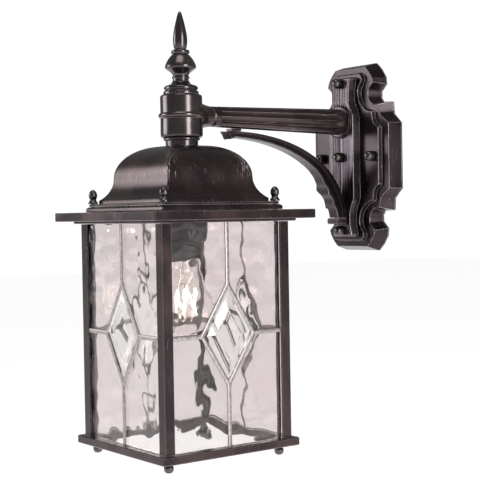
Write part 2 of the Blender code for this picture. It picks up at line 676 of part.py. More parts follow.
def brace_section(thickness, width):
    """Channel section, as (across, level below the outer edge): a groove between two edges."""
    half = width / 2
    groove = 0.18 * thickness
    return [
        (-half, -thickness), (half, -thickness), (half, 0), (half * 0.62, 0),
        (half * 0.5, -groove), (-half * 0.5, -groove), (-half * 0.62, 0), (-half, 0),
    ]


def build_brace(surfaces):
    line = brace_line(20)
    last = len(line) - 1
    rings = []
    for i, (share, y, z) in enumerate(line):
        before = line[max(i - 1, 0)]
        after = line[min(i + 1, last)]
        tangent = Vector((after[1] - before[1], after[2] - before[2])).normalized()
        out = Vector((-tangent.y, tangent.x))
        if i == last:
            out = Vector((1, 0))
        thickness = brace_depth(share) * (1.3 if i == 0 else 1)
        slant = 0.6 if i == 0 else 0
        ring = []
        for across, level in brace_section(thickness, BRACE_WIDTH):
            shift = out * level - tangent * slant * level
            ring.append((across, y + shift.x, z + shift.y))
        rings.append(ring)
    bm = bmesh.new()
    skin(bm, rings)
    finish_object("brace", bm, surfaces["arm_paint"], 30)


def build_brace_fittings(surfaces):
    start = AXIS_Y + BRACE_SPACER_START
    end = start + BRACE_SPACER_LENGTH
    under_arm = ARM_Z - arm_radius_at(BRACE_SPACER_START + BRACE_SPACER_LENGTH)
    half = BRACE_WIDTH * 0.3
    low = (-half, start, under_arm - BRACE_GAP + GAP)
    box("brace_spacer", low, (half, end, under_arm - GAP), surfaces["arm_paint"])
    half, top = BRACE_WIDTH * 0.6, BRACE_FOOT_Z - GAP
    low = (-half, PANEL_FACE_Y - CLIP_DEPTH, top - CLIP_HEIGHT)
    box("brace_clip", low, (half, PANEL_FACE_Y, top), surfaces["arm_paint"], 1 * MM)


# ---------------------------------------------------------------- hub and finial

def hub_outline():
    """Barrel with a ring round its middle, on a stepped neck, as (radius, height)."""
    r, ring = HUB_RADIUS, HUB_RADIUS + HUB_RING
    shoulder = HUB_RISE - 1.4 * MM
    foot = HUB_NECK_TOP
    return [
        (0, HUB_RISE), (CAP_RADIUS + 0.8 * MM, HUB_RISE), (r - 1 * MM, shoulder),
        (r, shoulder - 1.8 * MM), (r, 1.9 * MM), (ring - 0.6 * MM, 1.4 * MM), (ring, 0),
        (ring, -1.4 * MM), (ring - 0.6 * MM, -2.8 * MM), (r, -3.2 * MM), (r, foot + 4.5 * MM),
        (r - 1.2 * MM, foot + 3 * MM), (r - 3 * MM, foot + 2 * MM), (r - 3 * MM, foot + 0.4 * MM),
        (HUB_NECK_RADIUS, foot), (HUB_NECK_RADIUS, HUB_BOTTOM), (0, HUB_BOTTOM),
    ]


def build_hub(surfaces):
    place = Vector((0, AXIS_Y, ARM_Z))
    hub = lathe("hub_body", hub_outline(), surfaces["hub_paint"], place, 32)
    inner = HUB_RADIUS / 2
    socket = lathe_mesh([
        (0, -inner), (HUB_SOCKET_RADIUS, -inner), (HUB_SOCKET_RADIUS, -HUB_RADIUS + 1 * MM),
        (ARM_RADIUS_HUB * 0.97, -HUB_SOCKET_REACH), (0, -HUB_SOCKET_REACH),
    ], 32)
    turn = Matrix.Translation(place) @ Matrix.Rotation(math.radians(90), 4, "X")
    bmesh.ops.transform(socket, matrix=turn, verts=socket.verts)
    boolean(hub, "joiner_hub_socket", socket, "UNION")
    radius, low = HUB_RADIUS - HUB_WALL, HUB_NECK_TOP + HUB_BASE_WALL
    hollow = lathe_mesh([(0, HUB_CAVITY_TOP), (radius, HUB_CAVITY_TOP), (radius, low), (0, low)], 24)
    bmesh.ops.transform(hollow, matrix=Matrix.Translation(place), verts=hollow.verts)
    boolean(hub, "cutter_hub_cavity", hollow)
    for name, way, radius in (
        ("stud", (0, 0, HUB_RISE + CUT_MARGIN), STUD_RADIUS),
        ("nipple", (0, 0, HUB_BOTTOM - CUT_MARGIN), NIPPLE_RADIUS),
        ("arm", (0, HUB_SOCKET_REACH + CUT_MARGIN, 0), ARM_SPIGOT_RADIUS),
    ):
        bore = bmesh.new()
        cylinder_along(bore, place, place + Vector(way), radius + GAP, 24)
        boolean(hub, f"cutter_hub_{name}", bore)


def build_hub_cap(surfaces):
    bore = STUD_RADIUS + GAP
    cap, neck, high = CAP_RADIUS, FINIAL_NECK_RADIUS, CAP_HEIGHT
    profile = [
        (bore, 0), (bore, high), (neck, high), (neck + 0.6 * MM, high * 0.88),
        (neck + 2.6 * MM, high * 0.74), (cap - 1.6 * MM, high * 0.63), (cap, high * 0.54),
        (cap, high * 0.34), (cap - 0.8 * MM, high * 0.29), (cap - 0.6 * MM, high * 0.215),
        (cap + 0.8 * MM, high * 0.17), (cap + 0.8 * MM, 0),
    ]
    base = ARM_Z + HUB_RISE + GAP
    lathe("hub_cap", profile, surfaces["hub_paint"], (0, AXIS_Y, base), 24, ring=True)
    return base + CAP_HEIGHT + GAP


def build_finial(foot, surfaces):
    """Neck, ball, ring and flame. The heights are shares of the finial's own."""
    neck, ball, ring, flame = FINIAL_NECK_RADIUS, FINIAL_BALL_RADIUS, FINIAL_RING_RADIUS, FLAME_RADIUS
    outline = [
        (0, 1.0), (flame * 0.15, 0.987), (flame * 0.48, 0.886), (flame * 0.80, 0.772),
        (flame * 0.97, 0.673), (flame, 0.616), (flame * 0.93, 0.531), (flame * 0.76, 0.451),
        (ring * 0.98, 0.431), (ring, 0.403), (ring * 0.93, 0.383),
        (ball * 0.72, 0.326), (ball * 0.92, 0.260), (ball, 0.211), (ball * 0.98, 0.185),
        (ball * 0.72, 0.141),
        (neck * 1.05, 0.098), (neck * 0.97, 0.067), (neck * 1.08, 0.053), (neck * 1.08, 0.036), (neck, 0),
    ]
    bore = STUD_RADIUS + GAP
    profile = [(r, share * FINIAL_HEIGHT) for r, share in outline]
    profile += [(bore, 0), (bore, FINIAL_BORE_DEPTH), (0, FINIAL_BORE_DEPTH)]
    lathe("finial", profile, surfaces["hub_paint"], (0, AXIS_Y, foot), 24)
    top = foot + FINIAL_BORE_DEPTH - GAP
    low = ARM_Z + HUB_CAVITY_TOP - STUD_TAIL
    stud = [(0, top), (STUD_RADIUS, top), (STUD_RADIUS, low), (0, low)]
    lathe("finial_stud", stud, surfaces["zinc_steel"], (0, AXIS_Y, 0), 16)


def build_nipple(surfaces):
    """Threaded tube from the hub's cavity through the roof into the lampholder."""
    top = ARM_Z - LEAD_HUB_BEND - 1 * MM
    low = HOLDER_TOP_Z - NIPPLE_GRIP
    tube = [(NIPPLE_BORE, top), (NIPPLE_BORE, low), (NIPPLE_RADIUS, low), (NIPPLE_RADIUS, top)]
    lathe("nipple_tube", tube, surfaces["zinc_steel"], (0, AXIS_Y, 0), 24, ring=True)


# ---------------------------------------------------------------- roof and eave

def roof_profile():
    """Outer ogee, top to bottom, as (half width, height above the eave plate)."""
    top = ROOF_HEIGHT
    turn_height = FLANGE_LOW + ROOF_TURN_RISE
    crown = arc(
        (ROOF_TOP_HALF, turn_height),
        (ROOF_WAIST_HALF - ROOF_TOP_HALF, top - turn_height), 90, 0, 7,
    )
    flare_centre = ROOF_WAIST_HALF + ROOF_FLARE_RADIUS
    end = math.degrees(math.acos((ROOF_SKIRT_HALF - flare_centre) / ROOF_FLARE_RADIUS))
    flare = arc((flare_centre, turn_height), (ROOF_FLARE_RADIUS, ROOF_FLARE_RADIUS), 180, 360 - end, 5)
    return crown + flare[1:]


def inner_profile(profile):
    """The same curve moved inwards by the wall."""
    moved = []
    last = len(profile) - 1
    for i, (r, z) in enumerate(profile):
        before, after = profile[max(i - 1, 0)], profile[min(i + 1, last)]
        along = Vector((after[0] - before[0], after[1] - before[1])).normalized()
        moved.append((r + along.y * ROOF_WALL, z - along.x * ROOF_WALL))
    return moved


def tie_holes(low, high):
    """Cutters for the four tie bolts between two heights."""
    bm = bmesh.new()
    for x, y in CORNERS.values():
        place = (x * TIE_HALF, AXIS_Y + y * TIE_HALF)
        start, end = (*place, low - CUT_MARGIN), (*place, high + CUT_MARGIN)
        cylinder_along(bm, start, end, TIE_RADIUS + TIE_HOLE_PLAY, 12)
    return bm


def build_roof(surfaces):
    profile = roof_profile()
    outer = profile + [
        (ROOF_SKIRT_HALF, FLANGE_HIGH), (ROOF_FLANGE_HALF, FLANGE_HIGH), (ROOF_FLANGE_HALF, FLANGE_LOW),
    ]
    inner = inner_profile(profile)
    path = outer + [(inner[-1][0], FLANGE_LOW)] + list(reversed(inner))
    bm = bmesh.new()
    skin(bm, [square_ring(half, z) for half, z in path])
    roof = finish_object("roof_shell", bm, surfaces["body_paint"], 30)
    roof.location = (0, AXIS_Y, EAVE_Z)
    boolean(roof, "cutter_roof_ties", tie_holes(EAVE_Z, NUT_SEAT_Z))
    hole = bmesh.new()
    low, high = ROOF_TOP_Z - ROOF_WALL - CUT_MARGIN, ROOF_TOP_Z + CUT_MARGIN
    cylinder_along(hole, (0, AXIS_Y, low), (0, AXIS_Y, high), NIPPLE_RADIUS + GAP, 24)
    boolean(roof, "cutter_roof_nipple", hole)


def chamfered_ring(half, chamfer, z):
    """A square with its corners cut off."""
    low = half - chamfer
    corners = [(low, -half), (half, -low), (half, low), (low, half)]
    points = corners + [(-x, -y) for x, y in corners]
    return [(x, y, z) for x, y in points]


def framed(name, path, z, surface):
    """A square frame from a closed (half width, corner chamfer, height) section."""
    bm = bmesh.new()
    skin(bm, [chamfered_ring(*station) for station in path], cyclic=True)
    made = finish_object(name, bm, surface, 20)
    made.location = (0, AXIS_Y, z)
    return made


def build_plinth_and_eave(surfaces):
    high, bevel = PLINTH_HEIGHT, PLINTH_BEVEL
    opening, corner = OPENING_HALF, EAVE_EDGE
    section = [
        (opening, corner, GAP), (opening, corner, high), (PLINTH_HALF - bevel, corner, high),
        (PLINTH_HALF, corner, high - bevel * 0.7), (PLINTH_HALF, corner, GAP),
    ]
    plinth = framed("roof_plinth", section, EAVE_Z, surfaces["body_paint"])
    boolean(plinth, "cutter_plinth_ties", tie_holes(EAVE_Z, EAVE_Z + high))
    wall = EAVE_HALF - EAVE_RIM_WALL
    section = [
        (opening, corner, -EAVE_WEB), (opening, corner, 0), (EAVE_HALF - corner, corner, 0),
        (EAVE_HALF, corner, -corner), (EAVE_HALF, corner, -EAVE_RIM_HEIGHT),
        (wall, corner, -EAVE_RIM_HEIGHT), (wall, corner, -EAVE_WEB),
    ]
    eave = framed("eave_plate", section, EAVE_Z, surfaces["body_paint"])
    boolean(eave, "cutter_eave_ties", tie_holes(EAVE_Z - EAVE_WEB, EAVE_Z))


# ---------------------------------------------------------------- cage

def build_frames(surfaces):
    edge = FRAME_EDGE
    for name, z, height in (
        ("top_frame", GLASS_TOP_Z, TOP_FRAME_HEIGHT),
        ("bottom_frame", CAGE_BOTTOM_Z, BOTTOM_FRAME_HEIGHT),
    ):
        section = [
            (FRAME_INNER_HALF, FRAME_GUSSET, 0), (FRAME_INNER_HALF, FRAME_GUSSET, height),
            (FRAME_HALF - edge, edge, height), (FRAME_HALF, edge, height - edge),
            (FRAME_HALF, edge, edge), (FRAME_HALF - edge, edge, 0),
        ]
        frame = framed(name, section, z, surfaces["body_paint"])
        boolean(frame, f"cutter_{name}_ties", tie_holes(z, z + height))


def build_posts(surfaces):
    outer, leg, wall = CAGE_HALF, POST_LEG, POST_WALL
    section = [
        (outer, outer), (outer - leg, outer), (outer - leg, outer - wall),
        (outer - wall, outer - wall), (outer - wall, outer - leg), (outer, outer - leg),
    ]
    for name, (x, y) in CORNERS.items():
        points = [(x * a, y * b) for a, b in section]
        rings = [[(a, b, z) for a, b in points] for z in (GLASS_BOTTOM_Z + GAP, GLASS_TOP_Z - GAP)]
        bm = bmesh.new()
        skin(bm, rings)
        bmesh.ops.translate(bm, verts=bm.verts, vec=(0, AXIS_Y, 0))
        finish_object(f"post_{name}", bm, surfaces["body_paint"])


def rhomb(half_width, depth):
    """The diamond's outline at a half width, at a depth in front of the cage's axis."""
    height = half_width * DIAMOND_HALF_HEIGHT / DIAMOND_HALF_WIDTH
    return [(half_width, -depth, 0), (0, -depth, height), (-half_width, -depth, 0), (0, -depth, -height)]


def with_middles(ring):
    """The ring with a point added halfway along each edge."""
    points = []
    for here, after in zip(ring, ring[1:] + ring[:1]):
        points += [here, tuple((a + b) / 2 for a, b in zip(here, after))]
    return points


def pane_mesh(half_width):
    """A pane with a diamond opening, front towards -Y. Heights are from the pane's middle."""
    half_height = GLASS_HEIGHT / 2 - GAP
    rim = [
        (half_width, 0), (half_width, half_height), (0, half_height), (-half_width, half_height),
        (-half_width, 0), (-half_width, -half_height), (0, -half_height), (half_width, -half_height),
    ]
    hole = DIAMOND_HALF_WIDTH - DIAMOND_LAP
    rings = [
        [(x, -PANE_OUTER, z) for x, z in rim], with_middles(rhomb(hole, PANE_OUTER)),
        with_middles(rhomb(hole, PANE_INNER)), [(x, -PANE_INNER, z) for x, z in rim],
    ]
    bm = bmesh.new()
    skin(bm, rings, cyclic=True)
    return bm


def diamond_mesh():
    """Bevelled glass in the pane's opening: flush at its edge, raised inside the came."""
    edge = DIAMOND_HALF_WIDTH - DIAMOND_LAP - DIAMOND_PLAY
    diagonal = math.hypot(DIAMOND_HALF_WIDTH, DIAMOND_HALF_HEIGHT)
    came = CAME_WIDTH / 2 * diagonal / DIAMOND_HALF_HEIGHT
    inside = DIAMOND_HALF_WIDTH - came - CAME_PLAY
    rings = [
        rhomb(edge, PANE_INNER), rhomb(edge, PANE_OUTER), rhomb(inside, PANE_OUTER),
        rhomb(inside - DIAMOND_BEVEL, PANE_OUTER + DIAMOND_RISE),
    ]
    bm = bmesh.new()
    skin(bm, rings)
    return bm


def came_loops(half_width, half_length, half_height):
    """Outer and inner outline of the came lattice for one half width of strip."""
    b, a = DIAMOND_HALF_WIDTH, DIAMOND_HALF_HEIGHT
    grow = half_width * math.hypot(a, b) / (a * b)
    w = half_width
    z_meet = a * (1 + grow - w / b)
    x_meet = b * (1 + grow - w / a)
    quarter = [(half_length, w), (x_meet, w), (w, z_meet), (w, half_height)]
    outer = mirrored(quarter)
    inner = [(b * (1 - grow), 0), (0, a * (1 - grow)), (-b * (1 - grow), 0), (0, -a * (1 - grow))]
    return outer, inner


def came_mesh():
    """Came lattice: a rhomb of strip with four arms out to the frame, chamfered along its sides."""
    clear_half = CAGE_HALF - POST_LEG - GAP
    clear_height = GLASS_HEIGHT / 2 - GAP
    bm = bmesh.new()
    levels = []
    seat = PANE_OUTER + GAP
    for strip, depth in ((CAME_WIDTH / 2, seat), (CAME_CROWN / 2, seat + CAME_HEIGHT)):
        outer, inner = came_loops(strip, clear_half, clear_height)
        levels.append((
            [bm.verts.new((x, -depth, z)) for x, z in outer],
            [bm.verts.new((x, -depth, z)) for x, z in inner],
        ))
    for outer, inner in levels:
        for quadrant in range(4):
            first = quadrant * 4
            tip, root, next_root = outer[first], outer[first + 1], outer[first + 2]
            before_tip, before_root = outer[first - 1], outer[first - 2]
            bm.faces.new((before_tip, tip, root, before_root))
            bm.faces.new((before_root, root, inner[quadrant]))
            bm.faces.new((root, next_root, inner[(quadrant + 1) % 4], inner[quadrant]))
    for side in (0, 1):
        low, high = levels[0][side], levels[1][side]
        for i in range(len(low)):
            j = (i + 1) % len(low)
            bm.faces.new((low[i], low[j], high[j], high[i]))
    return bm


def build_glazing(surfaces):
    middle = (GLASS_TOP_Z + GLASS_BOTTOM_Z) / 2
    for side, angle in SIDES.items():
        wide = angle % 180 == 0
        half_width = PANE_OUTER if wide else PANE_INNER - GAP
        pieces = (
            (f"pane_{side}", pane_mesh(half_width), "ripple_glass"),
            (f"diamond_{side}", diamond_mesh(), "bevel_glass"),
            (f"came_{side}", came_mesh(), "came_lead"),
        )
        for name, bm, slot in pieces:
            made = finish_object(name, bm, surfaces[slot])
            made.rotation_euler = (0, 0, math.radians(angle))
            made.location = (0, AXIS_Y, middle)


def build_ties(surfaces):
    foot, r, high = CAGE_BOTTOM_Z - GAP, FOOT_RADIUS, FOOT_HEIGHT
    bolt = [
        (0, TIE_TOP_Z), (TIE_RADIUS, TIE_TOP_Z), (TIE_RADIUS, foot), (r * 0.72, foot),
        (r * 0.72, foot - high * 0.30), (r, foot - high * 0.36), (r, foot - high * 0.62),
        (r * 0.8, foot - high * 0.84), (r * 0.4, foot - high * 0.97), (0, foot - high),
    ]
    r, high = ACORN_RADIUS, ACORN_HEIGHT
    nut = [
        (0, high), (r * 0.30, high * 0.952), (r * 0.74, high * 0.822), (r * 0.98, high * 0.644),
        (r, high * 0.548), (r * 0.82, high * 0.411), (r * 0.74, high * 0.342), (r * 0.84, high * 0.233),
        (r * ACORN_FLARE, high * 0.110), (r * ACORN_FLARE, 0),
    ]
    bore, depth = TIE_RADIUS + GAP, TIE_TOP_Z - NUT_SEAT_Z + GAP
    nut += [(bore, 0), (bore, depth), (0, depth)]
    for name, (x, y) in CORNERS.items():
        place = (x * TIE_HALF, AXIS_Y + y * TIE_HALF)
        lathe(f"tie_bolt_{name}", bolt, surfaces["fastener_steel"], (*place, 0), 12)
        lathe(f"acorn_nut_{name}", nut, surfaces["fastener_steel"], (*place, NUT_SEAT_Z), 12)


# ---------------------------------------------------------------- lamp

def build_lampholder(surfaces):
    """The holder, its threaded shell and its contact; returns where the lamp's cap begins."""
    place = (0, AXIS_Y, HOLDER_TOP_Z)
    r, skirt, bore, length = HOLDER_RADIUS, HOLDER_SKIRT_RADIUS, HOLDER_BORE, HOLDER_LENGTH
    top_bore, lead_bore = NIPPLE_RADIUS + GAP, LEAD_RADIUS + GAP
    shelf_low = -HOLDER_SHELF
    shelf_high = shelf_low + HOLDER_SHELF_THICKNESS
    body = [
        (top_bore, 0), (HOLDER_NECK_RADIUS, 0), (r * 0.80, -length * 0.05), (r, -length * 0.14),
        (r, -length * 0.56), (skirt, -length * 0.60), (skirt, -length), (bore, -length), (bore, shelf_low),
        (lead_bore, shelf_low), (lead_bore, shelf_high), (top_bore, shelf_high),
    ]
    lathe("lampholder_body", body, surfaces["holder_plastic"], place, 24, ring=True)
    outer, high, low = bore - GAP, shelf_low - SHELL_DROP, SHELL_INSET - length
    inner = outer - SHELL_WALL
    shell = [(outer, low), (outer, high), (inner, high), (inner, low)]
    lathe("lampholder_shell", shell, surfaces["brass"], place, 20, ring=True)
    seat, rim = shelf_low - GAP, CONTACT_RADIUS
    tip = seat - CONTACT_HEIGHT
    contact = [(0, seat), (rim, seat), (rim, seat - CONTACT_HEIGHT * 0.45), (rim / 2, tip), (0, tip)]
    lathe("lampholder_contact", contact, surfaces["brass"], place, 16)
    return HOLDER_TOP_Z + tip - GAP


def bulb_outline(shrink):
    """From the bottom of the globe up to the rim in the cap, moved inwards by shrink."""
    centre = BULB_RADIUS - BULB_LENGTH
    radius = BULB_RADIUS - shrink
    neck = CAP_THREAD_RADIUS - CAP_WALL - GAP - shrink
    globe = arc((0, centre), (radius, radius), -90, 32, 8)
    throat = [(neck + 2 * MM, -CAP_LENGTH * 1.24), (neck, -CAP_LENGTH * 1.04), (neck, -BULB_RIM)]
    return globe[1:] + throat


def build_bulb(top, surfaces):
    """E27 lamp hanging cap up from its contact."""
    place = (0, AXIS_Y, top)
    r, inner, pad, low = CAP_THREAD_RADIUS, CAP_THREAD_RADIUS - CAP_WALL, CONTACT_RADIUS, -CAP_LENGTH
    cap = [
        (0, 0), (pad * 0.92, 0), (pad, -1.6 * MM), (r * 0.73, -4.4 * MM), (r * 0.94, -5.4 * MM),
        (r, -7 * MM), (r, low), (inner, low), (inner, -7.4 * MM), (r * 0.70, -6 * MM), (0, -6 * MM),
    ]
    lathe("bulb_cap", cap, surfaces["nickel"], place, 20)
    bottom = -BULB_LENGTH
    outer, inside = bulb_outline(0), list(reversed(bulb_outline(BULB_WALL)))
    glass = [(0, bottom)] + outer + inside + [(0, bottom + BULB_WALL)]
    lathe("bulb_glass", glass, surfaces["bulb_glass"], place, 20)
    stem = [
        (0, 0.08), (7 * MM, 0.08), (7 * MM, 0.13), (4 * MM, 0.21), (2.6 * MM, 0.32), (2.2 * MM, 0.50),
        (3.4 * MM, 0.53), (5.4 * MM, 0.63), (1.2 * MM, 0.657), (0, 0.657),
    ]
    profile = [(radius, -share * BULB_LENGTH) for radius, share in stem]
    lathe("bulb_stem", profile, surfaces["bulb_glass"], place, 12)


def build():
    clear_scene()
    surfaces = make_materials()
    build_mounting_bar(surfaces)
    build_gasket(surfaces)
    build_backplate(surfaces)
    build_panel(surfaces)
    build_plate_fasteners(surfaces)
    build_wiring(surfaces)
    build_lead(surfaces)
    build_arm(surfaces)
    build_brace(surfaces)
    build_brace_fittings(surfaces)
    build_hub(surfaces)
    build_finial(build_hub_cap(surfaces), surfaces)
    build_nipple(surfaces)
    build_roof(surfaces)
    build_plinth_and_eave(surfaces)
    build_frames(surfaces)
    build_posts(surfaces)
    build_glazing(surfaces)
    build_ties(surfaces)
    build_bulb(build_lampholder(surfaces), surfaces)
    bpy.context.view_layer.update()


build()
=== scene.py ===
"""Looks of the outdoor wall lantern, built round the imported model.

Metres, in the model's own frame: the wall is Y = 0, the lantern hangs towards -Y, +Z is up.
"""

import json
from math import acos, cos, degrees, pi, radians, sin

import bmesh
import bpy
from mathutils import Matrix, Vector, noise


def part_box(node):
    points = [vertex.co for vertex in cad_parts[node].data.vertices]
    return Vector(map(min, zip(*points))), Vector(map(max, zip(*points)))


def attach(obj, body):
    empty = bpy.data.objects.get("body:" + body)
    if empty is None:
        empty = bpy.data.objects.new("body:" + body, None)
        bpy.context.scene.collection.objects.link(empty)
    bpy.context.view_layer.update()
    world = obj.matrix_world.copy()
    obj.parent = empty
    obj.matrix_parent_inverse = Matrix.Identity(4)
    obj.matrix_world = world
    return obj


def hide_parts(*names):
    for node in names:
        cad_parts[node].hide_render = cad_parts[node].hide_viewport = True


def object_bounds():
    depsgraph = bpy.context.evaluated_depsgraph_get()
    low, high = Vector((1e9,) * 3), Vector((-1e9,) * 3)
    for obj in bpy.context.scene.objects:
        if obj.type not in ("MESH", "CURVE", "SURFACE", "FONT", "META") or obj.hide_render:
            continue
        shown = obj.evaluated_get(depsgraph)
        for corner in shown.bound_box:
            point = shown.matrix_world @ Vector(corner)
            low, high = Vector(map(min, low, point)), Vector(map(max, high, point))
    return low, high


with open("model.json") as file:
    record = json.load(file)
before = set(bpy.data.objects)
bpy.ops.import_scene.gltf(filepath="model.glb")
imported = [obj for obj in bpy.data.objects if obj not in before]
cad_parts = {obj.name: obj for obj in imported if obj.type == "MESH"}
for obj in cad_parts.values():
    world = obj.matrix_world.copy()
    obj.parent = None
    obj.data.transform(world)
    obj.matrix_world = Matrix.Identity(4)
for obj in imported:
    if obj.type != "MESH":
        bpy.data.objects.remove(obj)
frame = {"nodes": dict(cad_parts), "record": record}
cad_low, cad_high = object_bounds()

MM = 0.001
CORNERS = {"front_left": (-1, -1), "front_right": (1, -1), "back_right": (1, 1), "back_left": (-1, 1)}
SIDES = {"front": 0, "right": 90, "back": 180, "left": 270}

# Camera: place, way it looks (turn round Z from +Y towards -X, and pitch down), roll and lens
CAMERA_PLACE = (1.0048, -0.9264, -0.0617)
CAMERA_TURN, CAMERA_PITCH, CAMERA_ROLL = 53.239, 1.222, -0.978
CAMERA_LENS, CAMERA_SENSOR = 89.71, 36
FLOOR_DROP = 0.45                 # below the lowest point of the lantern

ROOM_BRIGHT = 1.05                # the room as the eye and the glass see it
ROOM_IN_METAL = 0.21              # the room as polished metal mirrors it

# Glass
RIPPLE_DEPTH = 0.6 * MM
RIPPLE_SIZE = (17 * MM, 15 * MM)  # across and along
INNER_RIPPLE = 0.21               # of the outer face's depth
DIAMOND_SLOPE = 14 * MM           # from a lozenge's corner in to its flat face
PANE_STEPS = (44, 40)             # per quarter: along the diamond's edge, and out to the frame
PANE_THICK = 3 * MM
DIAMOND_HALF = (30.5 * MM, 48.5 * MM)  # half width and half height of the came's lozenge
DIAMOND_PLAY = 0.8 * MM           # the pane's opening is this much narrower than the lozenge
CAME_HALF = 2.3 * MM              # half width of a came's strip
CAME_SWELL = 3.3 * MM             # radius of the solder over a joint

COIL_RADIUS = 0.4 * MM

BOLT_ROD = 1.9 * MM
BOLT_HOLE = 2.4 * MM              # radius of the holes in roof, plinth and eave
BOLT_GAP = 0.3 * MM               # round a bolt in its nut

# Grooves down the bracket's panel: place across it, half width, both as shares, and depth
PANEL_GROOVES = [
    (0.16, 0.035, 0.35 * MM), (0.27, 0.035, 0.35 * MM), (0.38, 0.035, 0.35 * MM), (0.5, 0.05, 0.9 * MM),
    (0.62, 0.035, 0.35 * MM), (0.73, 0.035, 0.35 * MM), (0.84, 0.035, 0.35 * MM),
]

HUB_NECK_SHARE = 0.09016          # of the hub's height
BARREL_UNDER_RING = 1.9 * MM      # the barrel is this much narrower than its ring


# ---- small helpers

def span(node):
    low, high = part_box(node)
    return low, high, (low + high) / 2


AXIS = span("finial")[2]
ARM_Z = span("arm_tube")[2].z
ROOF_LOW = span("roof_shell")[0].z


def lerp(a, b, t):
    return a + (b - a) * t


def unit_circle(count):
    return [(cos(2 * pi * i / count), sin(2 * pi * i / count)) for i in range(count)]


def radius_and_length(node, axis="Z"):
    low, high, _ = span(node)
    return (high.x - low.x) / 2, (high.z - low.z if axis == "Z" else high.y - low.y)


def new_object(name, data):
    made = bpy.data.objects.new(name, data)
    bpy.context.scene.collection.objects.link(made)
    return made


def mesh_object(name, bm, surface, smooth_angle=40):
    bmesh.ops.recalc_face_normals(bm, faces=bm.faces)
    mesh = bpy.data.meshes.new(name)
    bm.to_mesh(mesh)
    bm.free()
    mesh.materials.append(surface)
    return smoothed(new_object(name, mesh), smooth_angle)


def smoothed(made, angle):
    """Smooth faces, sharp where they meet at more than the angle."""
    made.data.shade_smooth()
    made.data.set_sharp_from_angle(angle=radians(angle))
    normals = made.modifiers.new("normals", "WEIGHTED_NORMAL")
    normals.keep_sharp = True
    normals.weight = 75
    return made


def drilled(made, low_z, high_z, angle=35):
    """Opens the four holes the tie bolts pass through, between two heights."""
    bm = bmesh.new()
    for corner in CORNERS:
        middle = span(f"tie_bolt_{corner}")[2]
        circle = [(middle.x + BOLT_HOLE * c, middle.y + BOLT_HOLE * s) for c, s in unit_circle(32)]
        skin(bm, [[(x, y, z) for x, y in circle] for z in (low_z - 1 * MM, high_z + 1 * MM)])
    cutter = mesh_object("hole_cutter", bm, made.data.materials[0])
    made.modifiers.clear()
    cut = made.modifiers.new("holes", "BOOLEAN")
    cut.operation = "DIFFERENCE"
    cut.solver = "EXACT"
    cut.object = cutter
    graph = bpy.context.evaluated_depsgraph_get()
    mesh = bpy.data.meshes.new_from_object(made.evaluated_get(graph))
    made.modifiers.clear()
    made.data = mesh
    bpy.data.objects.remove(cutter)
    return smoothed(made, angle)


def place(made, body, slot, *nodes):
    """Rides on a body, and stands for CAD nodes. The slot is not used."""
    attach(made, body)
    if nodes:
        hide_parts(*nodes)
    return made


def piece(name, bm, body, slot, *nodes, surface=None, angle=40):
    """A mesh as a piece: its own finish if surface is given, else that of its slot."""
    return place(mesh_object(name, bm, MATERIALS[surface or slot], angle), body, slot, *nodes)


def bevelled(made, width, segments=2, angle=30):
    step = made.modifiers.new("edges", "BEVEL")
    step.width = width
    step.segments = segments
    step.limit_method = "ANGLE"
    step.angle_limit = radians(angle)
    step.harden_normals = False
    return made


def skin(bm, rings, cyclic=False, caps=True):
    """Faces between neighbouring rings, and over both ends; returns the rings' vertices."""
    loops = [[bm.verts.new(point) for point in ring] for ring in rings]
    pairs = list(zip(loops, loops[1:]))
    if cyclic:
        pairs.append((loops[-1], loops[0]))
    for low, high in pairs:
        for i in range(len(low)):
            j = (i + 1) % len(low)
            bm.faces.new((low[i], low[j], high[j], high[i]))
    if caps and not cyclic:
        bm.faces.new(list(reversed(loops[0])))
        bm.faces.new(loops[-1])
    return loops


def flowing(points, steps=5, corner=48, closed=False, soft=None):
    """A smooth line through points; a turn sharper than corner degrees stays a corner.

    Soft, if given, names the points that are rounded, and all the others stay corners.
    """
    count = len(points)
    pts = [Vector(p) for p in points]

    def neighbour(i, way):
        j = i + way
        if closed:
            return pts[j % count]
        return pts[j] if 0 <= j < count else None

    def tangent(i):
        before, after = neighbour(i, -1), neighbour(i, 1)
        if before is None or after is None or (soft is not None and i not in soft):
            return None
        a, b = pts[i] - before, after - pts[i]
        if a.length < 1e-9 or b.length < 1e-9 or (soft is None and degrees(a.angle(b)) > corner):
            return None
        way = (a.normalized() * b.length + b.normalized() * a.length) / (a.length + b.length)
        return way, 2.5 * min(a.length, b.length)

    tangents = [tangent(i) for i in range(count)]
    made = []
    for i in range(count if closed else count - 1):
        a, b = pts[i], pts[(i + 1) % count]
        chord = b - a
        ta, tb = tangents[i], tangents[(i + 1) % count]
        if ta is None and tb is None and not closed and soft is None:
            made.append(a)
            continue
        ta, tb = (chord if end is None else end[0] * min(end[1], chord.length) for end in (ta, tb))
        for k in range(steps):
            t = k / steps
            h1, h2 = 2 * t**3 - 3 * t**2 + 1, t**3 - 2 * t**2 + t
            h3, h4 = -2 * t**3 + 3 * t**2, t**3 - t**2
            made.append(a * h1 + ta * h2 + b * h3 + tb * h4)
    if not closed:
        made.append(pts[-1])
    return [tuple(p) for p in made]


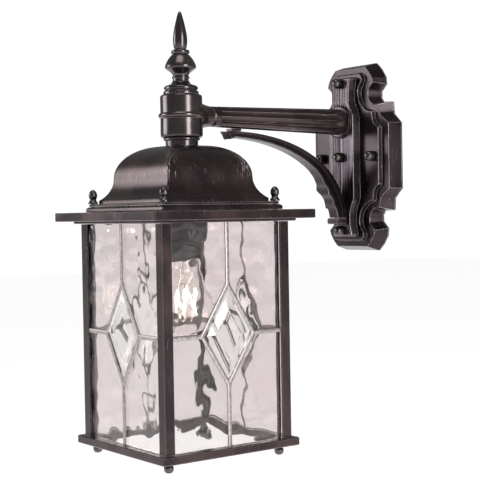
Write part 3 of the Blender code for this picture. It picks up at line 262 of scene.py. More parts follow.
def lathe(name, profile, centre, surface, segments=72, steps=5, axis="Z", ring=False, corner=48):
    """Turns a smoothed (radius, height) outline; a ring's outline is closed and off the axis."""
    line = flowing(profile, steps, corner, closed=ring)
    bm = bmesh.new()
    inner = line if ring else [p for p in line if p[0] > 1e-6]
    rings = [[(r * c, r * s, z) for c, s in unit_circle(segments)] for r, z in inner]
    loops = skin(bm, rings, cyclic=ring, caps=False)
    if not ring:
        for (radius, height), loop in ((line[0], loops[0]), (line[-1], loops[-1])):
            if radius > 1e-6:
                bm.faces.new(loop)
                continue
            tip = bm.verts.new((0, 0, height))
            for i in range(segments):
                bm.faces.new((loop[i], loop[(i + 1) % segments], tip))
    if axis == "Y":
        lying = Matrix.Rotation(radians(90), 3, "X")
        bmesh.ops.rotate(bm, verts=bm.verts, cent=(0, 0, 0), matrix=lying)
    bmesh.ops.translate(bm, verts=bm.verts, vec=centre)
    return mesh_object(name, bm, surface)


# ---- materials

class Nodes:
    """Short forms for building a node tree."""

    def __init__(self, name):
        self.material = bpy.data.materials.new(name)
        self.material.use_nodes = True
        self.tree = self.material.node_tree
        self.shader = self.tree.nodes["Principled BSDF"]

    def add(self, kind, **values):
        node = self.tree.nodes.new(kind)
        for key, value in values.items():
            setattr(node, key, value)
        return node

    def link(self, out, into):
        self.tree.links.new(out, into)

    def wire(self, socket, value):
        self.link(value, self.shader.inputs[socket])

    def set(self, **values):
        for socket, value in values.items():
            self.shader.inputs[socket.replace("_", " ")].default_value = value

    def place(self, scale):
        """Object coordinates, stretched."""
        source = self.add("ShaderNodeTexCoord")
        mapping = self.add("ShaderNodeMapping")
        mapping.inputs["Scale"].default_value = scale
        self.link(source.outputs["Object"], mapping.inputs["Vector"])
        return mapping.outputs["Vector"]

    def noise(self, scale, detail=4, roughness=0.55, distortion=0):
        node = self.add("ShaderNodeTexNoise")
        node.inputs["Scale"].default_value = 1
        node.inputs["Detail"].default_value = detail
        node.inputs["Roughness"].default_value = roughness
        node.inputs["Distortion"].default_value = distortion
        self.link(self.place(scale), node.inputs["Vector"])
        return node.outputs["Fac"]

    def span(self, value, low, high, to_low=0, to_high=1):
        node = self.add("ShaderNodeMapRange", interpolation_type="SMOOTHSTEP")
        self.link(value, node.inputs["Value"])
        for key, number in (("From Min", low), ("From Max", high), ("To Min", to_low), ("To Max", to_high)):
            node.inputs[key].default_value = number
        return node.outputs["Result"]

    def math(self, operation, a, b=None, clamp=False):
        node = self.add("ShaderNodeMath", operation=operation, use_clamp=clamp)
        for socket, value in zip(node.inputs, (a, b)):
            if value is None:
                continue
            if isinstance(value, (int, float)):
                socket.default_value = value
            else:
                self.link(value, socket)
        return node.outputs["Value"]

    def mix(self, factor, a, b):
        node = self.add("ShaderNodeMix", data_type="RGBA")
        self.link(factor, node.inputs["Factor"])
        for socket, value in ((node.inputs[6], a), (node.inputs[7], b)):
            if isinstance(value, tuple):
                socket.default_value = (*value, 1)
            else:
                self.link(value, socket)
        return node.outputs[2]

    def edges(self, radius):
        """1 along convex or concave edges, 0 on open surface."""
        bevel = self.add("ShaderNodeBevel", samples=6)
        bevel.inputs["Radius"].default_value = radius
        plain = self.add("ShaderNodeNewGeometry")
        dot = self.add("ShaderNodeVectorMath", operation="DOT_PRODUCT")
        self.link(bevel.outputs["Normal"], dot.inputs[0])
        self.link(plain.outputs["Normal"], dot.inputs[1])
        return self.math("SUBTRACT", 1, dot.outputs["Value"], clamp=True)

    def bump(self, height, strength, distance):
        node = self.add("ShaderNodeBump")
        node.inputs["Strength"].default_value = strength
        node.inputs["Distance"].default_value = distance
        self.link(height, node.inputs["Height"])
        self.wire("Normal", node.outputs["Normal"])


def rubbed_paint(slot, dark, warm, grain, cover, edge, shoulder, roughness=0.27, rise=None, relief=0.05):
    """Black-brown paint with silver rubbed along its edges and in fine strokes along the grain.

    Grain is the noise scale per axis, small along the stroke. Cover is the share of strokes.
    Rise, if given, is the pair of heights between which the strokes come in.
    """
    n = Nodes(f"{slot}_rubbed")
    strokes = n.noise(grain, detail=5, roughness=0.66, distortion=0.15)
    patches = n.noise((21, 21, 17), detail=3)
    fine = n.noise((1100, 1100, 1100), detail=2)
    high_spots = n.span(n.edges(shoulder), 0.002, 0.06)
    on_shoulders = n.math("MULTIPLY", high_spots, cover)
    worn = n.math("ADD", n.span(patches, 0.45, 0.75, 0, cover), on_shoulders, clamp=True)
    if rise:
        split = n.add("ShaderNodeSeparateXYZ")
        n.link(n.place((1, 1, 1)), split.inputs["Vector"])
        worn = n.math("MULTIPLY", worn, n.span(split.outputs["Z"], *rise))
    bar = n.math("SUBTRACT", 0.66, n.math("MULTIPLY", worn, 0.24))
    brushed = n.math("MULTIPLY", n.span(n.math("SUBTRACT", strokes, bar), -0.02, 0.13), 0.8)
    rim = n.math("MULTIPLY", n.span(n.edges(edge), 0.03, 0.2), n.span(strokes, 0.32, 0.58, 0.5, 1))
    mask = n.math("MAXIMUM", brushed, rim)
    mask = n.math("MULTIPLY", mask, n.span(fine, 0.25, 0.6, 0.6, 1))
    base = n.mix(n.span(patches, 0.35, 0.65), dark, warm)
    n.wire("Base Color", n.mix(mask, base, SILVER))
    n.wire("Metallic", n.span(mask, 0, 1, 0.92, 0.52))
    sheen = n.span(patches, 0.3, 0.7, roughness - 0.03, roughness + 0.07)
    n.wire("Roughness", n.math("ADD", sheen, n.math("MULTIPLY", mask, 0.1)))
    n.set(Coat_Weight=0.25, Coat_Roughness=0.22)
    n.bump(n.math("ADD", strokes, n.math("MULTIPLY", fine, 0.35)), relief, 0.12 * MM)
    return n.material


def scaled(colour, factor):
    return tuple(min(c * factor, 1) for c in colour)


def plain_metal(name, colour, roughness, grain=500, spread=0.1):
    n = Nodes(name)
    wear = n.noise((grain,) * 3, detail=4)
    tone = n.mix(n.span(wear, 0.3, 0.7), scaled(colour, 0.72), scaled(colour, 1.18))
    n.wire("Base Color", tone)
    n.set(Metallic=1)
    matt = n.span(wear, 0.3, 0.7, roughness - spread / 2, roughness + spread / 2)
    n.wire("Roughness", matt)
    n.bump(wear, 0.1, 0.08 * MM)
    return n.material


def moulded(name, colour, roughness, grain=1400):
    n = Nodes(name)
    speck = n.noise((grain, grain, grain), detail=2)
    broad = n.noise((60, 60, 60), detail=2)
    tone = n.mix(n.span(broad, 0.3, 0.7), scaled(colour, 0.82), scaled(colour, 1.15))
    n.wire("Base Color", tone)
    n.wire("Roughness", n.span(broad, 0.3, 0.7, roughness - 0.05, roughness + 0.06))
    n.bump(speck, 0.15, 0.1 * MM)
    return n.material


def clear_glass(name, colour, roughness, ior, speck=0):
    n = Nodes(name)
    if speck:
        seeds = n.noise((240, 240, 130), detail=3, distortion=0.6)
        n.bump(seeds, speck, 0.25 * MM)
    tint = n.noise((14, 14, 9), detail=2)
    pinker = tuple(c * k for c, k in zip(colour, (1, 0.965, 0.975)))
    n.wire("Base Color", n.mix(n.span(tint, 0.35, 0.65), colour, pinker))
    n.set(Transmission_Weight=1, Roughness=roughness, IOR=ior)
    return n.material


def glowing(name, colour, strength):
    n = Nodes(name)
    heat = n.noise((2500, 2500, 2500), detail=1)
    tone = n.mix(n.span(heat, 0.3, 0.7), colour, scaled(colour, 0.8))
    n.wire("Base Color", tone)
    n.wire("Emission Color", tone)
    n.set(Emission_Strength=strength)
    return n.material


SILVER = (0.62, 0.56, 0.57)
BLACK = (0.02, 0.013, 0.016)
DARK = (0.034, 0.022, 0.026)
WARM = (0.066, 0.043, 0.042)
PURPLE = (0.085, 0.07, 0.084)
HUB_DARK = (0.07, 0.056, 0.059)
HUB_WARM = (0.11, 0.088, 0.086)

PAINTS = {
    # slot: base colours, grain, share of strokes, reach of edges and shoulders, and what else differs
    "body_paint": (DARK, WARM, (850, 850, 42), 0.1, 0.9 * MM, 2 * MM, {}),
    "roof_paint": (
        DARK, WARM, (800, 800, 34), 0.42, 0.9 * MM, 12 * MM,
        {"rise": (ROOF_LOW + 15 * MM, ROOF_LOW + 34 * MM), "relief": 0.12},
    ),
    "arm_paint": (DARK, WARM, (850, 26, 850), 0.16, 0.5 * MM, 3 * MM, {"relief": 0.1}),
    "hub_paint": (HUB_DARK, HUB_WARM, (420, 420, 200), 0.12, 0.5 * MM, 2 * MM, {"roughness": 0.22}),
    "plate_paint": (BLACK, DARK, (850, 600, 46), 0.04, 1.6 * MM, 3 * MM, {"relief": 0.03}),
    "brace_paint": (BLACK, DARK, (850, 90, 90), 0.06, 0.6 * MM, 2 * MM, {}),
    "panel_paint": (DARK, PURPLE, (1000, 600, 16), 0.44, 1.2 * MM, 3 * MM, {}),
}
MATERIALS = {slot: rubbed_paint(slot, *row, **more) for slot, (*row, more) in PAINTS.items()}
MATERIALS.update({
    "came_lead": plain_metal("came_lead_worn", (0.4, 0.365, 0.355), 0.4, 350, 0.18),
    "ripple_glass": clear_glass("ripple_glass_clear", (0.84, 0.8, 0.798), 0, 1.5, 0.1),
    "bevel_glass": clear_glass("bevel_glass_clear", (0.9, 0.9, 0.885), 0, 1.45),
    "bulb_glass": clear_glass("bulb_glass_clear", (0.99, 0.98, 0.97), 0, 1.47),
    "fastener_steel": plain_metal("fastener_steel_dark", (0.1, 0.088, 0.088), 0.3, 600),
    "zinc_steel": plain_metal("zinc_steel_plate", (0.56, 0.56, 0.55), 0.38, 120, 0.2),
    "brass": plain_metal("brass_plain", (0.68, 0.5, 0.22), 0.3),
    "nickel": plain_metal("nickel_cap", (0.64, 0.62, 0.58), 0.24),
    "rubber": moulded("rubber_black", (0.018, 0.018, 0.018), 0.72),
    "holder_plastic": moulded("holder_phenolic", (0.016, 0.012, 0.011), 0.38),
    "terminal_plastic": moulded("terminal_pale", (0.78, 0.77, 0.72), 0.46),
    "filament": glowing("filament_hot", (1, 0.86, 0.68), 95),
})

SLOT_OF = {row["node"]: row["material_slot"] for row in frame["record"]["subparts"]}
for node, carried in frame["nodes"].items():
    carried.data.materials.clear()
    carried.data.materials.append(MATERIALS[SLOT_OF[node]])


# ---- turned pieces

def turned(node, body, slot, outline, name=None, axis="Z", **how):
    """A turned piece at its CAD node's place, from its foot, or from the wall if it lies along Y."""
    low, high, middle = span(node)
    centre = (middle.x, middle.y, low.z) if axis == "Z" else (middle.x, high.y, middle.z)
    made = lathe(name or f"{node}_turned", outline, centre, MATERIALS[slot], axis=axis, **how)
    return place(made, body, slot, node)


def turned_in_box(node, body, slot, shape, axis="Z", **how):
    """The same, its (radius, height) outline in shares of its node's box."""
    radius, tall = radius_and_length(node, axis)
    return turned(node, body, slot, [(r * radius, z * tall) for r, z in shape], axis=axis, **how)


def finial():
    """Neck with its ring, ball, collar and flame."""
    turned_in_box("finial", "bracket", "hub_paint", [
        (0, 1), (0.045, 0.997), (0.105, 0.978), (0.16, 0.945), (0.235, 0.88), (0.322, 0.8),
        (0.395, 0.72), (0.448, 0.645), (0.464, 0.59), (0.448, 0.53), (0.405, 0.475), (0.36, 0.447),
        (0.48, 0.445), (0.57, 0.436), (0.59, 0.421), (0.588, 0.404), (0.555, 0.388), (0.5, 0.382),
        (0.6, 0.365), (0.74, 0.328), (0.875, 0.28), (0.965, 0.236), (1, 0.205), (0.985, 0.183),
        (0.9, 0.163), (0.76, 0.142), (0.63, 0.118), (0.545, 0.095), (0.508, 0.073), (0.512, 0.063),
        (0.56, 0.058), (0.572, 0.046), (0.56, 0.035), (0.512, 0.031), (0.51, 0.02), (0.525, 0), (0, 0),
    ], steps=4, corner=60)


def hub():
    """Cap, barrel with its ring, neck, and the socket that holds the arm."""
    turned_in_box("hub_cap", "bracket", "hub_paint", [
        (0, 1), (0.47, 1), (0.5, 0.96), (0.53, 0.87), (0.62, 0.76), (0.78, 0.68), (0.9, 0.61),
        (0.955, 0.53), (0.965, 0.44), (0.955, 0.36), (0.915, 0.315), (0.905, 0.275), (0.925, 0.245),
        (0.975, 0.215), (1, 0.15), (1, 0), (0, 0),
    ], steps=4, corner=65)
    low, high, _ = span("hub_body")
    ring = (high.x - low.x) / 2
    tall = high.z - low.z
    r = ring - BARREL_UNDER_RING
    mid = ARM_Z - low.z
    neck_top = HUB_NECK_SHARE * tall
    outline = [
        (0, tall), (r * 0.84, tall), (r * 0.93, tall - 0.5 * MM), (r * 0.985, tall - 1.6 * MM),
        (r, tall - 3.4 * MM), (r, tall - 6 * MM), (r, mid + 2.4 * MM), (r + 0.2 * MM, mid + 2 * MM),
        (r + 1.2 * MM, mid + 1.6 * MM), (ring, mid + 0.4 * MM), (ring, mid - 1.2 * MM),
        (r + 1.2 * MM, mid - 2.6 * MM), (r + 0.2 * MM, mid - 3 * MM), (r, mid - 3.4 * MM),
        (r, mid - 8 * MM), (r, neck_top + 5.6 * MM), (r * 0.985, neck_top + 4.4 * MM),
        (r * 0.93, neck_top + 3.2 * MM), (r * 0.87, neck_top + 2.6 * MM), (r * 0.862, neck_top + 0.9 * MM),
        (r * 0.83, neck_top + 0.4 * MM), (r * 0.775, neck_top), (r * 0.77, 0), (0, 0),
    ]
    barrel = lathe("hub_barrel", outline, (AXIS.x, AXIS.y, low.z), MATERIALS["hub_paint"], 96, 4, corner=65)
    place(barrel, "bracket", "hub_paint", "hub_body")
    reach = high.y - AXIS.y
    socket = [
        (0, -r * 0.5), (r * 0.8, -r * 0.5), (r * 0.79, -r * 0.68), (r * 0.7, -r * 0.92),
        (r * 0.6, -r * 1.14), (r * 0.53, -reach * 0.86), (r * 0.505, -reach * 0.94), (r * 0.5, -reach),
        (0, -reach),
    ]
    centre = (AXIS.x, AXIS.y, ARM_Z)
    cone = lathe("hub_socket", socket, centre, MATERIALS["arm_paint"], 72, 4, axis="Y", corner=65)
    place(cone, "bracket", "hub_paint")


def domed_fasteners():
    """Acorn nuts on the roof, the tie bolts' feet, and the dome-headed screws of the plate."""
    for corner in CORNERS:
        nut_low, nut_high, _ = span(f"acorn_nut_{corner}")
        bore = (BOLT_ROD + BOLT_GAP) / ((nut_high.x - nut_low.x) / 2)
        bore_top = (span(f"tie_bolt_{corner}")[1].z - nut_low.z + BOLT_GAP) / (nut_high.z - nut_low.z)
        turned_in_box(f"acorn_nut_{corner}", f"nut_{corner}", "fastener_steel", [
            (0, 1), (0.16, 0.992), (0.42, 0.945), (0.66, 0.855), (0.82, 0.74), (0.885, 0.62),
            (0.89, 0.54), (0.83, 0.45), (0.735, 0.375), (0.665, 0.33), (0.66, 0.29), (0.72, 0.235),
            (0.87, 0.16), (0.985, 0.105), (1, 0.06), (1, 0), (bore, 0), (bore, bore_top), (0, bore_top),
        ], segments=48, steps=4, corner=60)
        r, tall = radius_and_length(f"tie_bolt_{corner}")
        foot, rod = 9.8 * MM, BOLT_ROD
        outline = [(0, tall), (rod * 0.7, tall), (rod, tall - 0.6 * MM), (rod, foot)]
        outline += [(r * x, foot * z) for x, z in (
            (0.7, 1), (0.74, 0.72), (0.92, 0.66), (1, 0.58), (1, 0.42), (0.96, 0.28), (0.8, 0.13),
            (0.5, 0.035), (0, 0),
        )]
        turned(f"tie_bolt_{corner}", "cage", "fastener_steel", outline, segments=36, steps=4, corner=60)
    for node in (
        "panel_bolt_top", "panel_bolt_middle", "panel_bolt_bottom", "plate_screw_left", "plate_screw_right",
    ):
        r, tall = radius_and_length(node, "Y")
        dome, rod = 9.8 * MM, 2.3 * MM
        outline = [
            (0, tall), (r * 0.3, tall - 0.15 * MM), (r * 0.62, tall - 0.9 * MM), (r * 0.86, tall - 2.3 * MM),
            (r * 0.97, tall - 4.1 * MM), (r, tall - 5.6 * MM), (r, tall - dome + 0.5 * MM),
            (r * 0.94, tall - dome), (rod, tall - dome), (rod, 0.5 * MM), (rod * 0.75, 0), (0, 0),
        ]
        turned(node, "bracket", "fastener_steel", outline, axis="Y", segments=40, steps=4, corner=60)


# ---- arm and brace

def arm():
    """Tapering tube with twelve flutes, rounded ridges between them."""
    low, high, _ = span("arm_tube")
    wall_radius = (high.x - low.x) / 2
    hub_radius = 10.5 * MM
    mouth = low.y + 11 * MM
    end = high.y
    flute_end = end - 7.5 * MM
    count, per_flute, stations = 12, 12, 40
    rings = []

    def ring(radius, y, depth):
        points = []
        for i in range(count * per_flute):
            share = (i % per_flute) / per_flute
            hollow = sin(pi * share) ** 0.8
            here = radius * (1 - depth * hollow)
            angle = 2 * pi * i / (count * per_flute)
            points.append((here * cos(angle), y, ARM_Z + here * sin(angle)))
        return points

    spigot = 7.8 * MM
    for y, radius in (
        (low.y, spigot), (mouth, spigot), (mouth, hub_radius * 0.9), (mouth + 1 * MM, hub_radius * 0.95),
    ):
        rings.append(ring(radius, y, 0))
    for k in range(stations + 1):
        t = k / stations
        y = lerp(mouth + 3 * MM, flute_end, t)
        fade = min(t * stations / 2, 1, (1 - t) * stations / 1.5)
        rings.append(ring(lerp(hub_radius, wall_radius, (y - mouth) / (end - mouth)), y, 0.115 * fade))
    for y in (end - 5 * MM, end):
        rings.append(ring(wall_radius, y, 0))
    for y in (end, low.y):
        rings.append(ring(6.5 * MM, y, 0))
    bm = bmesh.new()
    skin(bm, rings, cyclic=True)
    piece("arm_fluted", bm, "bracket", "arm_paint", "arm_tube", angle=50)
    turned_in_box("arm_collar", "bracket", "plate_paint", [
        (0.8, 0), (0.8, 1), (0.9, 1), (0.96, 0.93), (0.99, 0.8), (1, 0.55), (1, 0),
    ], axis="Y", segments=96, steps=4, ring=True, corner=60)


def brace():
    """Curved strut: a groove between two edges, and a scalloped leaf at its foot."""
    low, high, _ = span("brace")
    foot_y, foot_z = high.y, low.z
    tip_y = low.y
    top_z = high.z
    steps, power, leaf_start = 96, 2.18, 0.56
    half = (high.x - low.x) / 2
    line = []
    for i in range(steps + 1):
        t = i / steps * pi / 2
        out, up = sin(t) ** (2 / power), cos(t) ** (2 / power)
        line.append(Vector((lerp(tip_y, foot_y, out), lerp(foot_z, top_z, up))))
    rings = []
    for i, spot in enumerate(line):
        share = i / steps
        before, after = line[max(i - 1, 0)], line[min(i + 1, steps)]
        along = (after - before).normalized()
        out = Vector((-along.y, along.x)) if i < steps else Vector((1, 0))
        thick = 6.4 * MM + 4.6 * MM * min(share / leaf_start, 1) ** 1.4
        leaf = max(share - leaf_start, 0) / (1 - leaf_start)
        thick += 6 * MM * sin(pi * leaf) * (0.86 + 0.14 * cos(leaf * 2 * pi * 4))
        if share < 0.03:
            thick *= 1 + 0.3 * (1 - share / 0.03)
        slant = 0.6 * max(1 - share / 0.03, 0)
        groove = 0.16 * thick
        section = [
            (0.9, thick), (1, thick * 0.88), (0.92, thick * 0.62), (0.92, thick * 0.34), (1, thick * 0.12),
            (0.94, 0), (0.66, 0), (0.5, groove), (0.22, groove * 0.45),
        ]
        section += [(0, groove * 0.3)] + [(-x, down) for x, down in reversed(section)]
        ring = []
        for across, down in section:
            shift = along * slant * down - out * down
            y = min(spot.x + shift.x, foot_y)
            z = max(spot.y + shift.y, foot_z)
            ring.append((across * half, y, z))
        rings.append(ring)
    bm = bmesh.new()
    skin(bm, rings)
    piece("brace_grooved", bm, "bracket", "arm_paint", "brace", surface="brace_paint", angle=50)


# ---- backplate

def mirrored(quadrant):
    upper_left = [(-x, z) for x, z in reversed(quadrant)]
    lower_left = [(-x, -z) for x, z in quadrant]
    lower_right = [(x, -z) for x, z in reversed(quadrant)]
    return quadrant + upper_left + lower_left + lower_right


def offset_outline(points, distance):
    count = len(points)
    moved = []
    for i in range(count):
        before, here, after = Vector(points[i - 1]), Vector(points[i]), Vector(points[(i + 1) % count])
        first, second = (here - before).normalized(), (after - here).normalized()
        normal = Vector((-first.y, first.x)) + Vector((-second.y, second.x))
        normal.normalize()
        reach = distance / max(normal.dot(Vector((-first.y, first.x))), 0.6)
        moved.append((here.x + normal.x * reach, here.y + normal.y * reach))
    return moved


def plate_outline(tier, half_width, half_height):
    quarter = (
        [(1, 0.344), (0.831, 0.445), (0.815, 0.574), (0.582, 0.579), (0.531, 0.622),
         (0.534, 0.689), (0.657, 0.761), (0.64, 0.842), (0.543, 0.928), (0.419, 1)],
        [(0.949, 0.34), (0.755, 0.44), (0.699, 0.541), (0.575, 0.545), (0.475, 0.612),
         (0.463, 0.699), (0.587, 0.78), (0.559, 0.833), (0.481, 0.9), (0.388, 0.956)],
        [(0.783, 0.297), (0.671, 0.349), (0.627, 0.465), (0.466, 0.494), (0.323, 0.584),
         (0.289, 0.708), (0.388, 0.823), (0.373, 0.852), (0.351, 0.871), (0.32, 0.885)],
    )[tier]
    points = [(x * half_width, z * half_height) for x, z in quarter]
    return mirrored(flowing(points, 6, soft=((4, 5), (1, 4, 5), (1, 4, 5, 6))[tier]))


def both_sides(loop):
    """The right and the left half of a mirrored outline, both running upwards."""
    quarter = len(loop) // 4
    return loop[3 * quarter:] + loop[:quarter], loop[quarter:3 * quarter][::-1]


def fill_across(bm, loop):
    """Closes a mirrored outline with rows of faces from its right side to its left."""
    right, left = both_sides(loop)
    for i in range(len(right) - 1):
        bm.faces.new((right[i], right[i + 1], left[i + 1], left[i]))


def fill_reeded(bm, loop, front):
    """Closes the panel's outline, with a groove down its middle and shallow reeds beside it."""
    right, left = both_sides(loop)
    shares, depths = [0], [0]
    for centre, half, depth in PANEL_GROOVES:
        shares += [centre - half, centre - half * 0.35, centre + half * 0.35, centre + half]
        depths += [0, depth, depth, 0]
    shares.append(1)
    depths.append(0)
    rows = []
    last = len(right) - 1
    for i, (a, b) in enumerate(zip(left, right)):
        row = [a]
        fade = 0 if i in (0, last) else 1
        for share, depth in zip(shares[1:-1], depths[1:-1]):
            spot = a.co.lerp(b.co, share)
            row.append(bm.verts.new((spot.x, -front + depth * fade, spot.z)))
        rows.append(row + [b])
    for low, high in zip(rows, rows[1:]):
        for k in range(len(low) - 1):
            bm.faces.new((low[k], low[k + 1], high[k + 1], high[k]))


def stepped(bm, levels):
    """Skin over outlines, each moved inwards by an inset and set at a distance from the wall."""
    rings = [[(x, -depth, z) for x, z in offset_outline(line, inset)] for line, inset, depth in levels]
    return skin(bm, rings, caps=False)


def plate():
    """Two stepped tiers with scalloped outlines, hollow behind."""
    low, high, _ = span("backplate")
    half_width, half_height = (high.x - low.x) / 2, (high.z - low.z) / 2
    rim, front = -high.y, -low.y
    step, wall = front - 5.5 * MM, 3 * MM
    outlines = [plate_outline(tier, half_width, half_height) for tier in range(3)]
    lowest, middle, upper = outlines
    soft = 0.8 * MM

    bm = bmesh.new()
    loops = stepped(bm, [
        (upper, soft, front), (upper, soft * 0.3, front - soft * 0.3), (upper, 0, front - soft),
        (upper, -0.7 * MM, step + soft * 0.6), (upper, -1.5 * MM, step), (middle, soft, step),
        (middle, soft * 0.3, step - soft * 0.3), (middle, 0, step - soft),
        (lowest, 0.2 * MM, rim + 1.2 * MM), (lowest, 0, rim), (lowest, wall, rim),
        (middle, wall, step - wall), (upper, wall - 1 * MM, step - wall), (upper, wall, front - wall),
    ])
    fill_across(bm, loops[0])
    fill_across(bm, loops[-1])
    piece("backplate_cast", bm, "bracket", "plate_paint", "backplate", angle=38)


def panel():
    """The reeded casting on the plate that carries arm and brace."""
    low, high, _ = span("bracket_panel")
    half_width, length = radius_and_length("bracket_panel")
    w, h = half_width - 0.8 * MM, length / 2 - 0.8 * MM
    near, far = -high.y, -low.y
    quarter = ((1, 0.516), (0.67, 0.693), (0.67, 0.841), (0.79, 0.977), (0.7, 1))
    outline = mirrored(flowing([(x * w, z * h) for x, z in quarter], 4, soft=()))
    bm = bmesh.new()
    loops = stepped(bm, [
        (outline, 1.5 * MM, far), (outline, 0.5 * MM, far - 0.35 * MM), (outline, 0, far - 1.3 * MM),
        (outline, -0.8 * MM, near),
    ])
    fill_reeded(bm, loops[0], far)
    fill_across(bm, loops[-1])
    piece(
        "bracket_panel_cast", bm, "bracket", "plate_paint", "bracket_panel", surface="panel_paint", angle=30,
    )


# ---- roof, eave, frames, posts

def square_loft(name, path, z, body, slot, node, radius, surface=None, side_steps=10, corner_steps=4):
    """A piece of square rings with small round corners; path holds (half width, height)."""
    bm = bmesh.new()
    rings = []
    for half, height in path:
        r = min(radius, half * 0.5)
        ring = []
        for quadrant in range(4):
            turn = quadrant * pi / 2
            c, s = cos(turn), sin(turn)
            points = []
            for k in range(corner_steps + 1):
                a = pi / 2 * k / corner_steps
                points.append((half - r + r * cos(a), half - r + r * sin(a)))
            for k in range(1, side_steps):
                points.append((lerp(half - r, -(half - r), k / side_steps), half))
            ring += [(AXIS.x + x * c - y * s, AXIS.y + x * s + y * c, z + height) for x, y in points]
        rings.append(ring)
    skin(bm, rings, cyclic=True)
    return piece(name, bm, body, slot, node, surface=surface, angle=35)


def edged(path, width):
    """The closed path with each corner cut by a small bevel."""
    made = []
    count = len(path)
    for i in range(count):
        before, here, after = Vector(path[i - 1]), Vector(path[i]), Vector(path[(i + 1) % count])
        for other in (before, after):
            way = other - here
            made.append(tuple(here + way.normalized() * min(width, way.length * 0.3)))
    return made


def roof():
    """Ogee shell with a flat flange that the acorn nuts stand on."""
    low, high, _ = span("roof_shell")
    tall = high.z - low.z
    flange = (high.x - low.x) / 2
    top_half, skirt = 16 * MM, flange - 7.3 * MM
    waist = skirt - 11.2 * MM
    turn = 28 * MM
    flange_high = 2.6 * MM
    profile = [(0, tall), (top_half * 0.6, tall)]
    for k in range(15):
        a = pi / 2 * (1 - k / 14)
        profile.append((top_half + (waist - top_half) * cos(a), turn + (tall - turn) * sin(a)))
    flare = 27 * MM
    end = acos((skirt - waist - flare) / flare)
    for k in range(1, 11):
        a = pi + (pi - end) * k / 10
        profile.append((waist + flare + flare * cos(a), turn + flare * sin(a)))
    profile += [
        (skirt, flange_high + 0.5 * MM), (skirt + 0.5 * MM, flange_high), (flange - 0.5 * MM, flange_high),
        (flange, flange_high - 0.5 * MM), (flange, 0),
    ]
    inner = [(max(r - 2 * MM, 3 * MM), max(z - 2 * MM, 0)) for r, z in reversed(profile[1:-4])]
    path = profile[1:] + [(skirt - 2 * MM, 0)] + inner
    shell = square_loft(
        "roof_ogee", path, low.z, "bracket", "body_paint", "roof_shell", 1.6 * MM, "roof_paint", 16,
    )
    drilled(shell, low.z, low.z + flange_high)


def plinth_and_eave():
    """The square step under the roof, and the plate with its turned-down rim."""
    for name, node in (("plinth", "roof_plinth"), ("eave", "eave_plate")):
        low, high, _ = span(node)
        outer, tall = (high.x - low.x) / 2, high.z - low.z
        opening = 60 * MM
        if name == "plinth":
            path = [
                (opening, 0), (opening, tall),
                (outer - 2.2 * MM, tall), (outer, tall - 1.6 * MM), (outer, 0),
            ]
        else:
            web, rim_wall = 3 * MM, 3 * MM
            path = [
                (opening, tall - web), (opening, tall), (outer, tall), (outer, 0),
                (outer - rim_wall, 0), (outer - rim_wall, tall - web),
            ]
        path = edged(path, 0.55 * MM)
        made = square_loft(f"{name}_edged", path, low.z, "bracket", "body_paint", node, 0.9 * MM)
        drilled(made, low.z, high.z)


def frames_and_posts():
    """Square frames with corner gussets for the tie bolts, and angle-section posts between them."""
    for node in ("top_frame", "bottom_frame"):
        low, high, _ = span(node)
        outer, tall = (high.x - low.x) / 2, high.z - low.z
        inner = outer - 12 * MM
        path = [(inner, 0), (inner, tall), (outer, tall), (outer, 0)]
        path = edged(path, 0.8 * MM)
        square_loft(f"{node}_edged", path, low.z, "cage", "body_paint", node, 1 * MM)
        for corner, (sx, sy) in CORNERS.items():
            plate_low, plate_high = low.z + 0.3 * MM, high.z - 0.3 * MM
            bm = bmesh.new()
            a, b = inner + 1 * MM, inner - 14 * MM
            outline = [(AXIS.x + sx * x, AXIS.y + sy * y) for x, y in ((a, a), (b, a), (a, b))]
            skin(bm, [[(x, y, z) for x, y in outline] for z in (plate_low, plate_high)])
            bevelled(piece(f"{node}_gusset_{corner}", bm, "cage", "body_paint"), 0.5 * MM)
    for corner, (sx, sy) in CORNERS.items():
        node = f"post_{corner}"
        low, high, _ = span(node)
        outer = max(abs(low.x), abs(high.x))
        leg, wall, soft = high.x - low.x, 2 * MM, 0.45 * MM
        section = [
            (outer, outer), (outer - leg, outer), (outer - leg, outer - wall),
            (outer - wall, outer - wall), (outer - wall, outer - leg), (outer, outer - leg),
        ]
        points = edged(section, soft)
        steps = 12
        rings = [
            [(AXIS.x + sx * a, AXIS.y + sy * b, lerp(low.z, high.z, k / steps)) for a, b in points]
            for k in range(steps + 1)
        ]
        bm = bmesh.new()
        skin(bm, rings)
        piece(f"{node}_angle", bm, "cage", "body_paint", node)


# ---- glass and came

def ripple(u, v, seed):
    """Height of the rippled face: drawn-out swells with finer wavelets on them."""
    across, along = u / RIPPLE_SIZE[0], v / RIPPLE_SIZE[1]
    swell = noise.noise(Vector((across + seed, along, seed * 1.7)))
    swell += 0.3 * noise.noise(Vector((across * 1.9 + seed, along * 1.6 + 4, seed)))
    swell += 0.06 * noise.noise(Vector((across * 4.3, along * 3.4 + seed, 9)))
    return RIPPLE_DEPTH * swell


def side_span(kind, side):
    """Half width, half height, outer and inner distance from the axis, and height of a side's piece."""
    low, high, middle = span(f"{kind}_{side}")
    wide = SIDES[side] % 180 == 0
    half_width = (high.x - low.x if wide else high.y - low.y) / 2
    outer, inner = {
        "front": (AXIS.y - low.y, AXIS.y - high.y), "back": (high.y - AXIS.y, low.y - AXIS.y),
        "right": (high.x, low.x), "left": (-low.x, -high.x),
    }[side]
    return half_width, (high.z - low.z) / 2, outer, inner, middle.z


def stand_on_side(bm, side, height):
    """Turns a mesh built facing the front, about its own middle, to its side of the cage."""
    turn = Matrix.Translation((AXIS.x, AXIS.y, height)) @ Matrix.Rotation(radians(SIDES[side]), 4, "Z")
    bmesh.ops.transform(bm, matrix=turn, verts=bm.verts)


